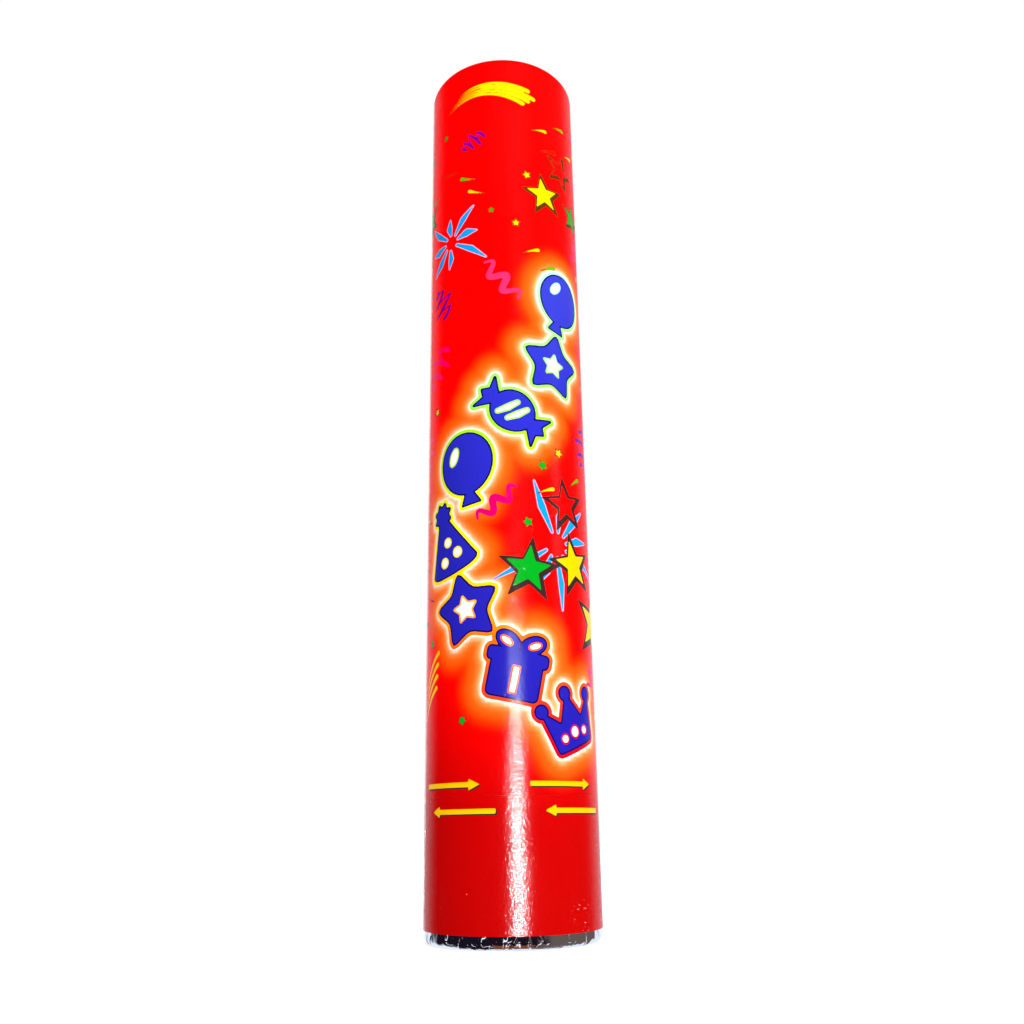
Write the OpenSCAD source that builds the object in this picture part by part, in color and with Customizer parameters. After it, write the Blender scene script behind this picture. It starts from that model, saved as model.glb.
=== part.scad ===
// Hand-held confetti popper, fired by twisting the short grip against the long barrel.
// The frame has +Z up along the tube, and its origin at the middle of the foil base.
// Lengths are in millimetres. The muzzle is at the top, and the grip is at the bottom.

/* [Tubes] */
// Height from the resting plane to the muzzle rim
overall_h = 280; // [270:1:310]
// Outer diameter of the two cardboard tubes under the label
tube_d = 49.5; // [48.5:0.5:52]
// Wall of the two cardboard tubes
tube_wall = 1.8; // [1.5:0.1:2.1]
// Height of the twist seam between the grip and the barrel
seam_z = 38; // [36:1:44]
// Gap between the two tubes at the twist seam
seam_gap = 0.1; // [0.1:0.05:0.3]
// Thickness of the printed label
label_t = 0.25; // [0.2:0.05:0.35]

/* [Foil base] */
// Thickness of the foil wraps at both ends
foil_t = 0.3; // [0.2:0.05:0.4]
// Height of bare foil below the label
foil_show_h = 3.6; // [3:0.1:5]
// Height of the foil skirt, partly tucked under the label
foil_skirt_h = 9; // [8:0.5:14]
// Radius of the foil's lower edge
foil_edge_r = 1.1; // [0.6:0.1:1.5]
// Number of folds round the foil skirt
foil_folds = 34; // [20:1:40]

/* [Core tubes] */
// Wall of the card rings between the outer tubes and the inner tube
ring_wall = 1.55; // [1.2:0.05:1.9]
// Wall of the inner tube
core_wall = 1.5; // [1.2:0.1:1.8]
// Length of the barrel's bearing ring
bearing_h = 18; // [14:1:20]
// Length of the ring that keeps the barrel on the grip
stop_ring_h = 10; // [8:1:11]
// Length of the ring that the wad rests on
seat_ring_h = 8; // [6:1:10]
// Wall of the ring that the wad rests on
seat_ring_wall = 3; // [2.5:0.1:4]

/* [Base plug] */
// Height of the plug in the grip's lower end
plug_h = 12; // [10:1:16]
// Thickness of the plug's flange
plug_flange_t = 3; // [2.6:0.1:4]
// Floor under the gas bottle
plug_floor_t = 2; // [1.5:0.1:2.5]

/* [Gas bottle] */
// Height of the bottle with its neck
bottle_h = 98; // [94:1:104]
// Wall of the bottle
bottle_wall = 0.9; // [0.7:0.1:1.2]
// Height of the rounded shoulder
shoulder_h = 8; // [7:0.5:9]
// Height of the neck with its bead
neck_h = 10; // [9.5:0.5:12]
// Outer diameter of the neck
neck_d = 14.4; // [13.8:0.1:15]
// Diameter of the neck's bore
neck_bore_d = 9; // [8.6:0.1:9.6]
// Height of the bead round the neck's mouth
bead_h = 3.5; // [3:0.1:4]
// How far the bead stands out of the neck
bead_out = 1; // [0.8:0.1:1.2]
// Height of each card ring that centres the bottle
spacer_h = 12; // [8:1:14]
// Wall of each card ring that centres the bottle
spacer_wall = 4.7; // [3.5:0.1:6]

/* [Release valve] */
// Lift of the stopper over the whole twist
stopper_lift = 5; // [4.5:0.1:5.5]
// Angle of the whole twist
twist_angle = 90; // [80:5:100]
// Diameter of the cross pin
pin_d = 3; // [2.6:0.1:3.2]
// Height of the cross pin above the gasket
pin_rise = 5; // [4.8:0.1:5.6]
// Diameter of the stopper's head
head_d = 12; // [11.6:0.1:12.4]
// Height of the stopper's head
head_h = 11; // [10.6:0.1:12]
// Length of the stopper's plug in the bottle's neck
plug_in_h = 6; // [5:0.5:7]
// Wall of the cam collar round the stopper
collar_wall = 3; // [2.6:0.1:3.4]
// Height of the cam collar above the gasket
collar_h = 14.5; // [14:0.5:16]
// Wall of the collar's skirt on the neck
skirt_wall = 1.6; // [1.4:0.1:1.8]
// Wall of the valve cage's middle sleeve
cage_wall = 2.6; // [2.2:0.1:3]
// Number of spokes of the valve cage
cage_spokes = 6; // [6:2:10]
// Thickness of each spoke and of the cage's rim
spoke_t = 1.8; // [1.4:0.1:2.2]
// Length of the hold-down spring at rest
spring_h = 12; // [11.5:0.5:14]
// Wire diameter of the hold-down spring
spring_wire_d = 0.9; // [0.7:0.05:1]
// Number of turns of the hold-down spring
spring_turns = 5; // [4:0.5:6]

/* [Charge] */
// Thickness of the card wad
wad_t = 2.5; // [2:0.1:4]
// Thickness of the foam disc on the wad
foam_t = 6; // [4:0.5:8]
// Thickness of one streamer roll
roll_t = 9; // [7:0.5:10]
// Number of streamer rolls in each column
roll_count = 4; // [3:1:5]
// Diameter of the hole in a streamer roll
roll_hole_d = 6; // [4:0.5:8]
// Width of a confetti slip, as a share of the wad's radius
slip_w_share = 0.885; // [0.8:0.005:0.9]
// Thickness of each middle bundle of slips, as a share of the wad's radius
middle_bundle_share = 0.575; // [0.5:0.005:0.6]
// Thickness of each outer bundle of slips, as a share of the wad's radius
outer_bundle_share = 0.487; // [0.4:0.005:0.5]

/* [Muzzle] */
// Depth of the recess above the muzzle foil
recess_h = 5.5; // [5:0.5:8]
// Thickness of the card disc under the muzzle foil
muzzle_disc_t = 1.5; // [1:0.1:2]

/* [Hidden] */
$fn = 96;

// Clearances
glue_gap = 0.05;
run_gap = 0.1;
cam_gap = 0.2;
pin_gap = 0.3;
pin_press_gap = 0.02;
seat_gap = 0.1;
wad_gap = 0.35;
layer_gap = 0.2;
bundle_gap = 0.4;
overrun = 1;

// Radii of the tubes
tube_r = tube_d / 2;
label_r = tube_r + label_t;
bore_r = tube_r - tube_wall;
core_r = bore_r - 2 * glue_gap - ring_wall;
core_bore_r = core_r - core_wall;
bottle_r = core_bore_r - 2 * glue_gap - spacer_wall;

// Folds of the foil skirt
fold_w = 0.9;
fold_out = 0.16;
fold_lean = 14;

// Heights of the grip and the core
barrel_z = seam_z + seam_gap;
flange_top_z = foil_t + plug_flange_t;
plug_top_z = foil_t + plug_h;
bearing_top_z = barrel_z + bearing_h;
stop_ring_z = bearing_top_z + layer_gap;
core_lip_h = 2;
core_top_z = stop_ring_z + stop_ring_h + core_lip_h;

// Gas bottle
bottle_z = foil_t + plug_floor_t;
neck_r = neck_d / 2;
neck_bore_r = neck_bore_d / 2;
bead_r = neck_r + bead_out;
neck_top_z = bottle_z + bottle_h;
neck_z = neck_top_z - neck_h;
shoulder_z = neck_z - shoulder_h;
foot_r = 2;
foot_dome_h = 2.6;
arc_step = 15;

// Gasket and cam collar
gasket_t = 1;
gasket_inset = 0.3;
ledge_z = neck_top_z + gasket_t;
lip_h = 2.5;
skirt_over_h = 0.5;
skirt_top_z = ledge_z + skirt_over_h;
head_r = head_d / 2;
collar_bore_r = head_r + pin_gap;
collar_r = collar_bore_r + collar_wall;
skirt_r = bead_r + glue_gap + skirt_wall;
collar_top_z = ledge_z + collar_h;

// Stopper and cross pin
pin_r = pin_d / 2;
pin_z = ledge_z + pin_rise;
head_z = ledge_z + seat_gap;
head_top_z = head_z + head_h;
boss_r = 3.6;
boss_h = 3;
neck_plug_r = neck_bore_r - cam_gap;
oring_r = 0.9;
oring_fn = 24;
oring_mid_r = neck_bore_r - glue_gap - oring_r;
oring_groove_r = oring_mid_r - oring_r - pin_press_gap;
oring_groove_h = 2 * oring_r + cam_gap;
oring_z = neck_top_z - plug_in_h / 2;
plug_tip_z = neck_top_z - plug_in_h;
plug_chamfer = 0.6;

// Valve cage
cage_bore_r = collar_r + cam_gap;
cage_r = cage_bore_r + cage_wall;
cage_z = skirt_top_z + pin_gap;
cap_z = head_top_z + spring_h;
cap_t = 2;
cage_top_z = cap_z + cap_t;
rim_r = bore_r - glue_gap;
rim_z = pin_z - pin_d;
spoke_h = 9;
spoke_in = 0.6;
cap_hole_r = 2;
vent_r = 1.6;
vent_ring_r = 6.8;
vent_count = 6;
cross_pin_half = cage_r - run_gap;

// Slots for the cross pin
slot_r = pin_r + pin_gap;
slot_z = pin_z - slot_r;
slot_h = stopper_lift + 2 * slot_r;
cam_lead = stopper_lift / twist_angle;
cam_mid_r = collar_bore_r + collar_wall / 2;
cam_lean = atan(stopper_lift / (cam_mid_r * twist_angle * PI / 180));
cam_half_angle = slot_r / cos(cam_lean) / cam_lead;
cam_slices = 20;

// Hold-down spring
spring_r = 4.6;
spring_fn = 10;
spring_sides = 8;
spring_end_turns = 0.75;
spring_wire_r = spring_wire_d / 2;

// Charge and muzzle
seat_ring_top_z = cage_top_z + seat_ring_h;
wad_r = bore_r - wad_gap;
wad_top_z = seat_ring_top_z + wad_t;
foam_top_z = wad_top_z + foam_t;
closure_r = bore_r - cam_gap;
closure_z = overall_h - recess_h - foil_t - muzzle_disc_t;
closure_foil_z = closure_z + muzzle_disc_t;
closure_skirt_h = 4;
three_circle_share = 2 * sqrt(3) - 3;
roll_r = wad_r * three_circle_share - layer_gap;
roll_ring_r = wad_r - roll_r - layer_gap;
roll_column = 3;
rolls_top_z = foam_top_z + layer_gap + roll_count * roll_t;
slip_w = slip_w_share * wad_r;
middle_bundle_t = middle_bundle_share * wad_r;
outer_bundle_t = outer_bundle_share * wad_r;
slip_layers = 2;
slip_h = (closure_z - rolls_top_z) / slip_layers - layer_gap;
slip_stacks = 5;
slip_stagger = 0.5;

// A closed ring between two radii, standing at a height.
module ring(outer, inner, z, h) {
    translate([0, 0, z])
        difference() {
            cylinder(h = h, r = outer);
            translate([0, 0, -overrun]) cylinder(h = h + 2 * overrun, r = inner);
        }
}

// Foil cup over the base, with a rounded lower edge and slanting folds round its bare band.
module base_foil() {
    color("silver") {
        rotate_extrude()
            polygon(concat(
                [[0, 0]],
                [for (a = [-90 : arc_step : 0])
                    [tube_r - foil_edge_r + foil_edge_r * cos(a), foil_edge_r + foil_edge_r * sin(a)]],
                [
                    [tube_r, foil_skirt_h],
                    [tube_r - foil_t, foil_skirt_h],
                    [tube_r - foil_t, foil_edge_r],
                    [tube_r - foil_edge_r, foil_t],
                    [0, foil_t]
                ]
            ));
        for (i = [0 : foil_folds - 1])
            rotate([0, 0, i * 360 / foil_folds]) foil_fold(i % 2 == 0 ? fold_lean : -fold_lean);
    }
}

// One fold of the skirt: a thin ridge that leans to one side.
module foil_fold(lean) {
    fold_h = foil_show_h - foil_edge_r;
    translate([tube_r - foil_t / 2, 0, foil_edge_r])
        rotate([lean, 0, 0])
            linear_extrude(height = fold_h)
                polygon([[0, -fold_w / 2], [foil_t / 2 + fold_out, 0], [0, fold_w / 2]]);
}

// Plug in the grip's lower end, with a pocket for the gas bottle.
module base_plug() {
    color("burlywood")
        difference() {
            union() {
                translate([0, 0, foil_t]) cylinder(h = plug_flange_t, r = tube_r - tube_wall - glue_gap);
                translate([0, 0, foil_t]) cylinder(h = plug_h, r = core_bore_r - glue_gap);
            }
            translate([0, 0, bottle_z]) cylinder(h = plug_h, r = bottle_r + glue_gap);
        }
}

// Lower cardboard tube, turned down where the foil skirt lies on it.
module grip_tube() {
    color("tan")
        difference() {
            union() {
                translate([0, 0, foil_edge_r])
                    cylinder(h = seam_z - foil_edge_r, r = tube_r - foil_t - pin_press_gap);
                translate([0, 0, foil_skirt_h + pin_press_gap])
                    cylinder(h = seam_z - foil_skirt_h - pin_press_gap, r = tube_r);
                ring(tube_r - foil_edge_r - pin_press_gap, bore_r, foil_t, foil_edge_r);
            }
            cylinder(h = overall_h, r = bore_r);
        }
}

// Printed label of the grip.
module grip_label() {
    color("red") ring(label_r, tube_r + pin_press_gap, foil_show_h, seam_z - foil_show_h);
}

// Cardboard ring that joins the grip tube to the core tube.
module grip_liner() {
    color("tan") ring(bore_r - glue_gap, core_r + glue_gap, flange_top_z, seam_z - flange_top_z);
}

// Inner tube of the grip that the barrel turns on.
module core_tube() {
    color("peru") ring(core_r, core_bore_r, flange_top_z, core_top_z - flange_top_z);
}

// Ring at the core's upper end that keeps the barrel on.
module stop_ring() {
    color("tan") ring(bore_r - run_gap, core_r + glue_gap, stop_ring_z, stop_ring_h);
}

// Two card rings that centre the gas bottle in the core tube.
module bottle_spacers() {
    color("burlywood") {
        ring(core_bore_r - glue_gap, bottle_r + glue_gap, plug_top_z + layer_gap, spacer_h);
        ring(core_bore_r - glue_gap, bottle_r + glue_gap, core_top_z - spacer_h, spacer_h);
    }
}

// Points of a quarter ellipse from angle a0 to a1 about a centre.
function arc(cx, cz, rx, rz, a0, a1) =
    [for (i = [0 : 90 / arc_step]) let (a = a0 + (a1 - a0) * i * arc_step / 90)
        [cx + rx * cos(a), cz + rz * sin(a)]];

// Aluminium gas bottle: raised foot, straight wall, round shoulder and beaded neck.
module gas_bottle() {
    inner_r = bottle_r - bottle_wall;
    inner_shoulder_h = shoulder_h - bottle_wall;
    color("silver")
        rotate_extrude()
            polygon(concat(
                [[0, bottle_z + foot_dome_h]],
                [[bottle_r - 2 * foot_r, bottle_z + foot_r / 4]],
                arc(bottle_r - foot_r, bottle_z + foot_r, foot_r, foot_r, -90, 0),
                arc(neck_r, shoulder_z, bottle_r - neck_r, shoulder_h, 0, 90),
                [
                    [neck_r, neck_top_z - bead_h],
                    [bead_r, neck_top_z - bead_h],
                    [bead_r, neck_top_z],
                    [neck_bore_r, neck_top_z]
                ],
                arc(neck_bore_r, shoulder_z, inner_r - neck_bore_r, inner_shoulder_h, 90, 0),
                [
                    [inner_r, bottle_z + foot_r + bottle_wall],
                    [bottle_r - 2 * foot_r, bottle_z + foot_r + bottle_wall / 2],
                    [0, bottle_z + foot_dome_h + bottle_wall]
                ]
            ));
}

// Rubber washer between the bottle's mouth and the collar.
module neck_gasket() {
    color("dimgray")
        ring(bead_r - gasket_inset, neck_bore_r + gasket_inset, neck_top_z, gasket_t);
}

// A slanting slot through one side of the collar: it climbs by the lift over the twist.
module cam_slot() {
    turn = slot_h / cam_lead;
    reach = cage_r + overrun;
    translate([0, 0, slot_z])
        rotate([0, 0, -slot_r / cam_lead])
            linear_extrude(height = slot_h, twist = -turn, slices = cam_slices, segments = 4)
                polygon([
                    [0, 0],
                    [reach * cos(cam_half_angle), -reach * sin(cam_half_angle)],
                    [reach * cos(cam_half_angle / 2) / cos(cam_half_angle / 2), 0],
                    [reach * cos(cam_half_angle), reach * sin(cam_half_angle)]
                ]);
}

// Collar snapped on the bottle's neck, with two climbing slots that lift the cross pin.
module cam_collar() {
    lip_z = neck_top_z - bead_h - lip_h;
    color("white")
        difference() {
            union() {
                translate([0, 0, lip_z]) cylinder(h = skirt_top_z - lip_z, r = skirt_r);
                translate([0, 0, ledge_z]) cylinder(h = collar_h, r = collar_r);
            }
            translate([0, 0, lip_z - overrun])
                cylinder(h = lip_h + 2 * overrun, r = neck_r + glue_gap);
            translate([0, 0, lip_z + lip_h])
                cylinder(h = ledge_z - lip_z - lip_h, r = bead_r + glue_gap);
            translate([0, 0, lip_z]) cylinder(h = collar_top_z, r = collar_bore_r);
            for (side = [0, 180]) rotate([0, 0, side]) cam_slot();
        }
}

// Upper cardboard tube.
module barrel_tube() {
    color("tan") ring(tube_r, bore_r, barrel_z, overall_h - barrel_z);
}

// Printed label of the barrel.
module barrel_label() {
    color("red") ring(label_r, tube_r + pin_press_gap, barrel_z, overall_h - barrel_z);
}

// Ring glued in the barrel's lower end, which turns on the core tube.
module bearing_ring() {
    color("tan") ring(bore_r - glue_gap, core_r + run_gap, barrel_z, bearing_h);
}

// A straight slot for the cross pin through both sides of the cage.
module straight_slot() {
    rotate([0, 90, 0])
        translate([-pin_z, 0, -cage_r - overrun])
            cylinder(h = 2 * (cage_r + overrun), r = slot_r);
    rotate([0, 90, 0])
        translate([-pin_z - stopper_lift, 0, -cage_r - overrun])
            cylinder(h = 2 * (cage_r + overrun), r = slot_r);
    translate([-cage_r - overrun, -slot_r, pin_z])
        cube([2 * (cage_r + overrun), 2 * slot_r, stopper_lift]);
}

// Spoked cage fixed in the barrel: a capped sleeve round the collar, spokes and a rim.
module valve_cage() {
    color("whitesmoke")
        difference() {
            union() {
                translate([0, 0, cage_z]) cylinder(h = cage_top_z - cage_z, r = cage_r);
                ring(rim_r, rim_r - spoke_t, rim_z, cage_top_z - rim_z);
                for (i = [0 : cage_spokes - 1])
                    rotate([0, 0, (i + 1 / 2) * 360 / cage_spokes])
                        translate([cage_r - spoke_in, -spoke_t / 2, rim_z])
                            cube([rim_r - spoke_t - cage_r + 2 * spoke_in, spoke_t, spoke_h]);
            }
            translate([0, 0, cage_z - overrun])
                cylinder(h = cap_z - cage_z + overrun, r = cage_bore_r);
            translate([0, 0, cap_z - overrun]) cylinder(h = cap_t + 2 * overrun, r = cap_hole_r);
            for (i = [0 : vent_count - 1])
                rotate([0, 0, i * 360 / vent_count])
                    translate([vent_ring_r, 0, cap_z - overrun])
                        cylinder(h = cap_t + 2 * overrun, r = vent_r);
            straight_slot();
        }
}

// Card ring above the cage, which the wad rests on.
module wad_seat_ring() {
    color("tan") ring(rim_r, rim_r - seat_ring_wall, cage_top_z, seat_ring_h);
}

// Height of the spring's centreline after t of its turns: close at both ends, open between.
function spring_rise(t) =
    let (
        open_turns = spring_turns - 2 * spring_end_turns,
        end_rise = spring_end_turns * spring_wire_d,
        open_rise = spring_h - spring_wire_d - 2 * end_rise
    )
    t < spring_end_turns ? t * spring_wire_d
    : t > spring_turns - spring_end_turns
        ? end_rise + open_rise + (t - spring_turns + spring_end_turns) * spring_wire_d
        : end_rise + (t - spring_end_turns) / open_turns * open_rise;

// Hold-down spring: one unbroken wire wound round the stopper's boss, ground flat at both ends.
module hold_down_spring() {
    rings = spring_turns * spring_fn * 2;
    points = [for (i = [0 : rings]) let (t = i / rings * spring_turns)
        for (k = [0 : spring_sides - 1])
            let (a = k * 360 / spring_sides, r = spring_r + spring_wire_r * cos(a))
                [r * cos(t * 360), r * sin(t * 360),
                    head_top_z + spring_wire_r + spring_rise(t) + spring_wire_r * sin(a)]];
    sides = [for (i = [0 : rings - 1]) for (k = [0 : spring_sides - 1])
        let (a = i * spring_sides + k, b = i * spring_sides + (k + 1) % spring_sides)
            for (face = [[a, b + spring_sides, b], [a, a + spring_sides, b + spring_sides]]) face];
    color("gainsboro")
        polyhedron(
            points = points,
            faces = concat(
                [[for (k = [0 : spring_sides - 1]) k]],
                sides,
                [[for (k = [spring_sides - 1 : -1 : 0]) rings * spring_sides + k]]
            )
        );
}

// Stopper: a plug in the bottle's neck, a head with a cross hole, and a boss for the spring.
module stopper() {
    color("orangered")
        difference() {
            rotate_extrude()
                polygon([
                    [0, plug_tip_z],
                    [neck_plug_r - plug_chamfer, plug_tip_z],
                    [neck_plug_r, plug_tip_z + plug_chamfer],
                    [neck_plug_r, oring_z - oring_groove_h / 2],
                    [oring_groove_r, oring_z - oring_groove_h / 2],
                    [oring_groove_r, oring_z + oring_groove_h / 2],
                    [neck_plug_r, oring_z + oring_groove_h / 2],
                    [neck_plug_r, head_z],
                    [head_r, head_z],
                    [head_r, head_top_z],
                    [boss_r, head_top_z],
                    [boss_r, head_top_z + boss_h],
                    [0, head_top_z + boss_h]
                ]);
            rotate([0, 90, 0])
                translate([-pin_z, 0, -head_d]) cylinder(h = 2 * head_d, r = pin_r + pin_press_gap);
        }
}

// Rubber ring that seals the stopper in the neck.
module stopper_oring() {
    color("black")
        translate([0, 0, oring_z])
            rotate_extrude() translate([oring_mid_r, 0]) circle(r = oring_r, $fn = oring_fn);
}

// Steel pin through the stopper, the collar's climbing slots and the cage's straight slots.
module cross_pin() {
    color("gray")
        rotate([0, 90, 0])
            translate([-pin_z, 0, -cross_pin_half]) cylinder(h = 2 * cross_pin_half, r = pin_r);
}

// Card piston that the gas drives up the barrel.
module wad_disc() {
    color("tan") translate([0, 0, seat_ring_top_z]) cylinder(h = wad_t, r = wad_r);
}

// Foam disc that seals the wad in the bore.
module wad_foam() {
    color("white") translate([0, 0, wad_top_z]) cylinder(h = foam_t, r = wad_r);
}

// Three columns of paper streamer rolls that stand on the foam.
module streamer_rolls() {
    color("gold")
        for (c = [0 : roll_column - 1], i = [0 : roll_count - 1])
            rotate([0, 0, c * 360 / roll_column])
                translate([roll_ring_r, 0, 0])
                    ring(roll_r, roll_hole_d / 2, foam_top_z + layer_gap + i * roll_t, roll_t - layer_gap);
}

// One bundle of paper slips, whose stacks stand a little uneven.
module slip_bundle(w, t) {
    stack_t = t / slip_stacks;
    for (i = [0 : slip_stacks - 1])
        translate([-w / 2, -t / 2 + i * stack_t, i % 2 * slip_stagger])
            cube([w - slip_stagger * (i % 2), stack_t, slip_h - slip_stagger]);
}

// Four bundles of slips side by side: two in the middle and one on either side of them.
module slip_layer() {
    for (side = [-1, 1]) {
        translate([side * (slip_w + bundle_gap) / 2, 0, 0]) slip_bundle(slip_w, middle_bundle_t);
        translate([0, side * (middle_bundle_t + outer_bundle_t + 2 * bundle_gap) / 2, 0])
            slip_bundle(slip_w, outer_bundle_t);
    }
}

// Lower layer of confetti slips.
module confetti_lower() {
    color("deepskyblue") translate([0, 0, rolls_top_z]) slip_layer();
}

// Upper layer of confetti slips, laid across the lower one.
module confetti_upper() {
    color("hotpink")
        translate([0, 0, rolls_top_z + slip_h + layer_gap]) rotate([0, 0, 90]) slip_layer();
}

// Card disc that closes the muzzle above the slips.
module muzzle_disc() {
    color("tan") translate([0, 0, closure_z]) cylinder(h = muzzle_disc_t, r = closure_r);
}

// Foil on the muzzle disc, turned up along the bore.
module muzzle_foil() {
    color("silver") {
        translate([0, 0, closure_foil_z]) cylinder(h = foil_t, r = closure_r);
        ring(closure_r, closure_r - foil_t, closure_foil_z, closure_skirt_h);
    }
}

base_foil();
base_plug();
grip_tube();
grip_label();
grip_liner();
core_tube();
stop_ring();
bottle_spacers();
gas_bottle();
neck_gasket();
cam_collar();
barrel_tube();
barrel_label();
bearing_ring();
valve_cage();
wad_seat_ring();
hold_down_spring();
stopper();
stopper_oring();
cross_pin();
wad_disc();
wad_foam();
streamer_rolls();
confetti_lower();
confetti_upper();
muzzle_disc();
muzzle_foil();
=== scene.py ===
"""Looks of a twist-fired confetti popper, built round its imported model.

The label is one printed sheet: its artwork is drawn as plates on the flattened tube, cut along the edges of
every motif, and wrapped round the tube. The rest are wound board, crinkled foil, the valve and the charge.
Lengths in the sheet's own plane are millimetres, and Blender's are metres.
"""

from __future__ import annotations

import logging
import math
from collections.abc import Sequence
from dataclasses import dataclass, field
from enum import Enum, member
from functools import reduce

import bpy
import numpy as np
from mathutils import Matrix, Vector
from mathutils.geometry import delaunay_2d_cdt


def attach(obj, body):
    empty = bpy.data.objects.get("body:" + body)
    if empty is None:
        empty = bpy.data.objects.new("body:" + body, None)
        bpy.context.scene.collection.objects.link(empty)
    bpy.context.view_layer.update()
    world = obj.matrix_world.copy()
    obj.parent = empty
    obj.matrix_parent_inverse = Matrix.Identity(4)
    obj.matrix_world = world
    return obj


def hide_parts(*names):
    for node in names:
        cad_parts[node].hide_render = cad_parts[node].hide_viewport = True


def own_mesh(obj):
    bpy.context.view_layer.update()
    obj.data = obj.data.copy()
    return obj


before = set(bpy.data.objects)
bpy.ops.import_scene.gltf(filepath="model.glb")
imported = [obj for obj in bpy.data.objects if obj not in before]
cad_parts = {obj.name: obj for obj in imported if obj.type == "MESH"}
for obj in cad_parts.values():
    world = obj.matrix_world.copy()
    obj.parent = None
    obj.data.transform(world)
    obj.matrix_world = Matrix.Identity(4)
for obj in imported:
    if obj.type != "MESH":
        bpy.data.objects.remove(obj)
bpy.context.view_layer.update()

LOG = logging.getLogger("popper")
MM = 0.001

Rgb = tuple[float, float, float]
Rgba = tuple[float, float, float, float]
Triple = tuple[float, float, float]
Point = tuple[float, float]
Span = tuple[float, float, float, float]
Socket = bpy.types.NodeSocket
Material = bpy.types.Material
Mesh = bpy.types.Mesh
Inputs = dict[str | int, object]

BLACK: Rgba = (0.0, 0.0, 0.0, 1.0)
WHITE: Rgba = (1.0, 1.0, 1.0, 1.0)


def linear(colour: Rgb) -> Rgb:
    """Turn a screen colour of 0 to 255 into the linear light that a shader reads."""
    shares = [c / 255 for c in colour]
    return tuple(s / 12.92 if s <= 0.04045 else ((s + 0.055) / 1.055) ** 2.4 for s in shares)


def opaque(colour: Rgb) -> Rgba:
    """Give a screen colour as a linear colour with full alpha."""
    return (*linear(colour), 1.0)


def once_round(count: int) -> np.ndarray:
    """Give evenly spaced angles once round a circle, in radians."""
    return np.linspace(0, 2 * math.pi, count, endpoint=False)


# Node trees


class NodeTree:
    """A node tree, with short calls for the nodes that materials, the room and the charge share."""

    def __init__(self, tree: bpy.types.NodeTree) -> None:
        """Keep the tree that the calls add to."""
        self.tree = tree

    def node(self, kind: str, inputs: Inputs | None = None, **settings: object) -> bpy.types.Node:
        """Add a node.

        Args:
            kind: The node's type.
            inputs: Sockets to link or values to set, by the input's name or number.
            **settings: The node's properties, by name.

        Returns:
            The new node.
        """
        made = self.tree.nodes.new(kind)
        for key, value in settings.items():
            setattr(made, key, value)
        for key, value in (inputs or {}).items():
            self.wire(value, made.inputs[key])
        return made

    def wire(self, source: object, target: Socket) -> None:
        """Join a socket to an input, or set the input when the source is a plain value.

        Args:
            source: The socket or the value.
            target: The input.
        """
        if isinstance(source, Socket):
            self.tree.links.new(source, target)
        else:
            target.default_value = source

    def math(self, operation: str, *values: object) -> Socket:
        """Add a math node on its values."""
        return self.node("ShaderNodeMath", dict(enumerate(values)), operation=operation).outputs["Value"]

    def times(self, *factors: object) -> Socket:
        """Multiply two or more values."""
        return reduce(lambda first, second: self.math("MULTIPLY", first, second), factors)

    def span(self, value: object, low: float, high: float, to_low: float, to_high: float,
             shape: str = "LINEAR") -> Socket:
        """Map a value from one range to another, held at both ends."""
        ends = dict(enumerate((value, low, high, to_low, to_high)))
        return self.node("ShaderNodeMapRange", ends, interpolation_type=shape).outputs["Result"]

    def mix(self, share: object, first: object, second: object) -> Socket:
        """Mix two linear colours.

        Args:
            share: How much of the second shows, from 0 to 1.
            first: The first colour, or its socket.
            second: The second one.

        Returns:
            The mixed colour.
        """
        made = self.node("ShaderNodeMix", {0: share}, data_type="RGBA")
        colours = [socket for socket in made.inputs if socket.type == "RGBA"]
        self.wire(first, colours[0])
        self.wire(second, colours[1])
        return next(socket for socket in made.outputs if socket.type == "RGBA")

    def coordinates(self, kind: str = "Object") -> Socket:
        """Give the coordinates of a kind that Blender names."""
        return self.node("ShaderNodeTexCoord").outputs[kind]

    def split(self, vector: Socket) -> tuple[Socket, Socket, Socket]:
        """Give the three parts of a vector."""
        return tuple(self.node("ShaderNodeSeparateXYZ", {0: vector}).outputs)

    def length(self, x: Socket, y: Socket) -> Socket:
        """Give the length of a flat vector."""
        return self.math("SQRT", self.math("ADD", self.times(x, x), self.times(y, y)))


@dataclass(frozen=True)
class Grain:
    """A noise pattern: waves in a metre, octaves, share of each finer octave, and squeeze up the tube."""

    scale: float
    detail: float = 2.0
    rough: float = 0.5
    squeeze: float = 1.0


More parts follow.
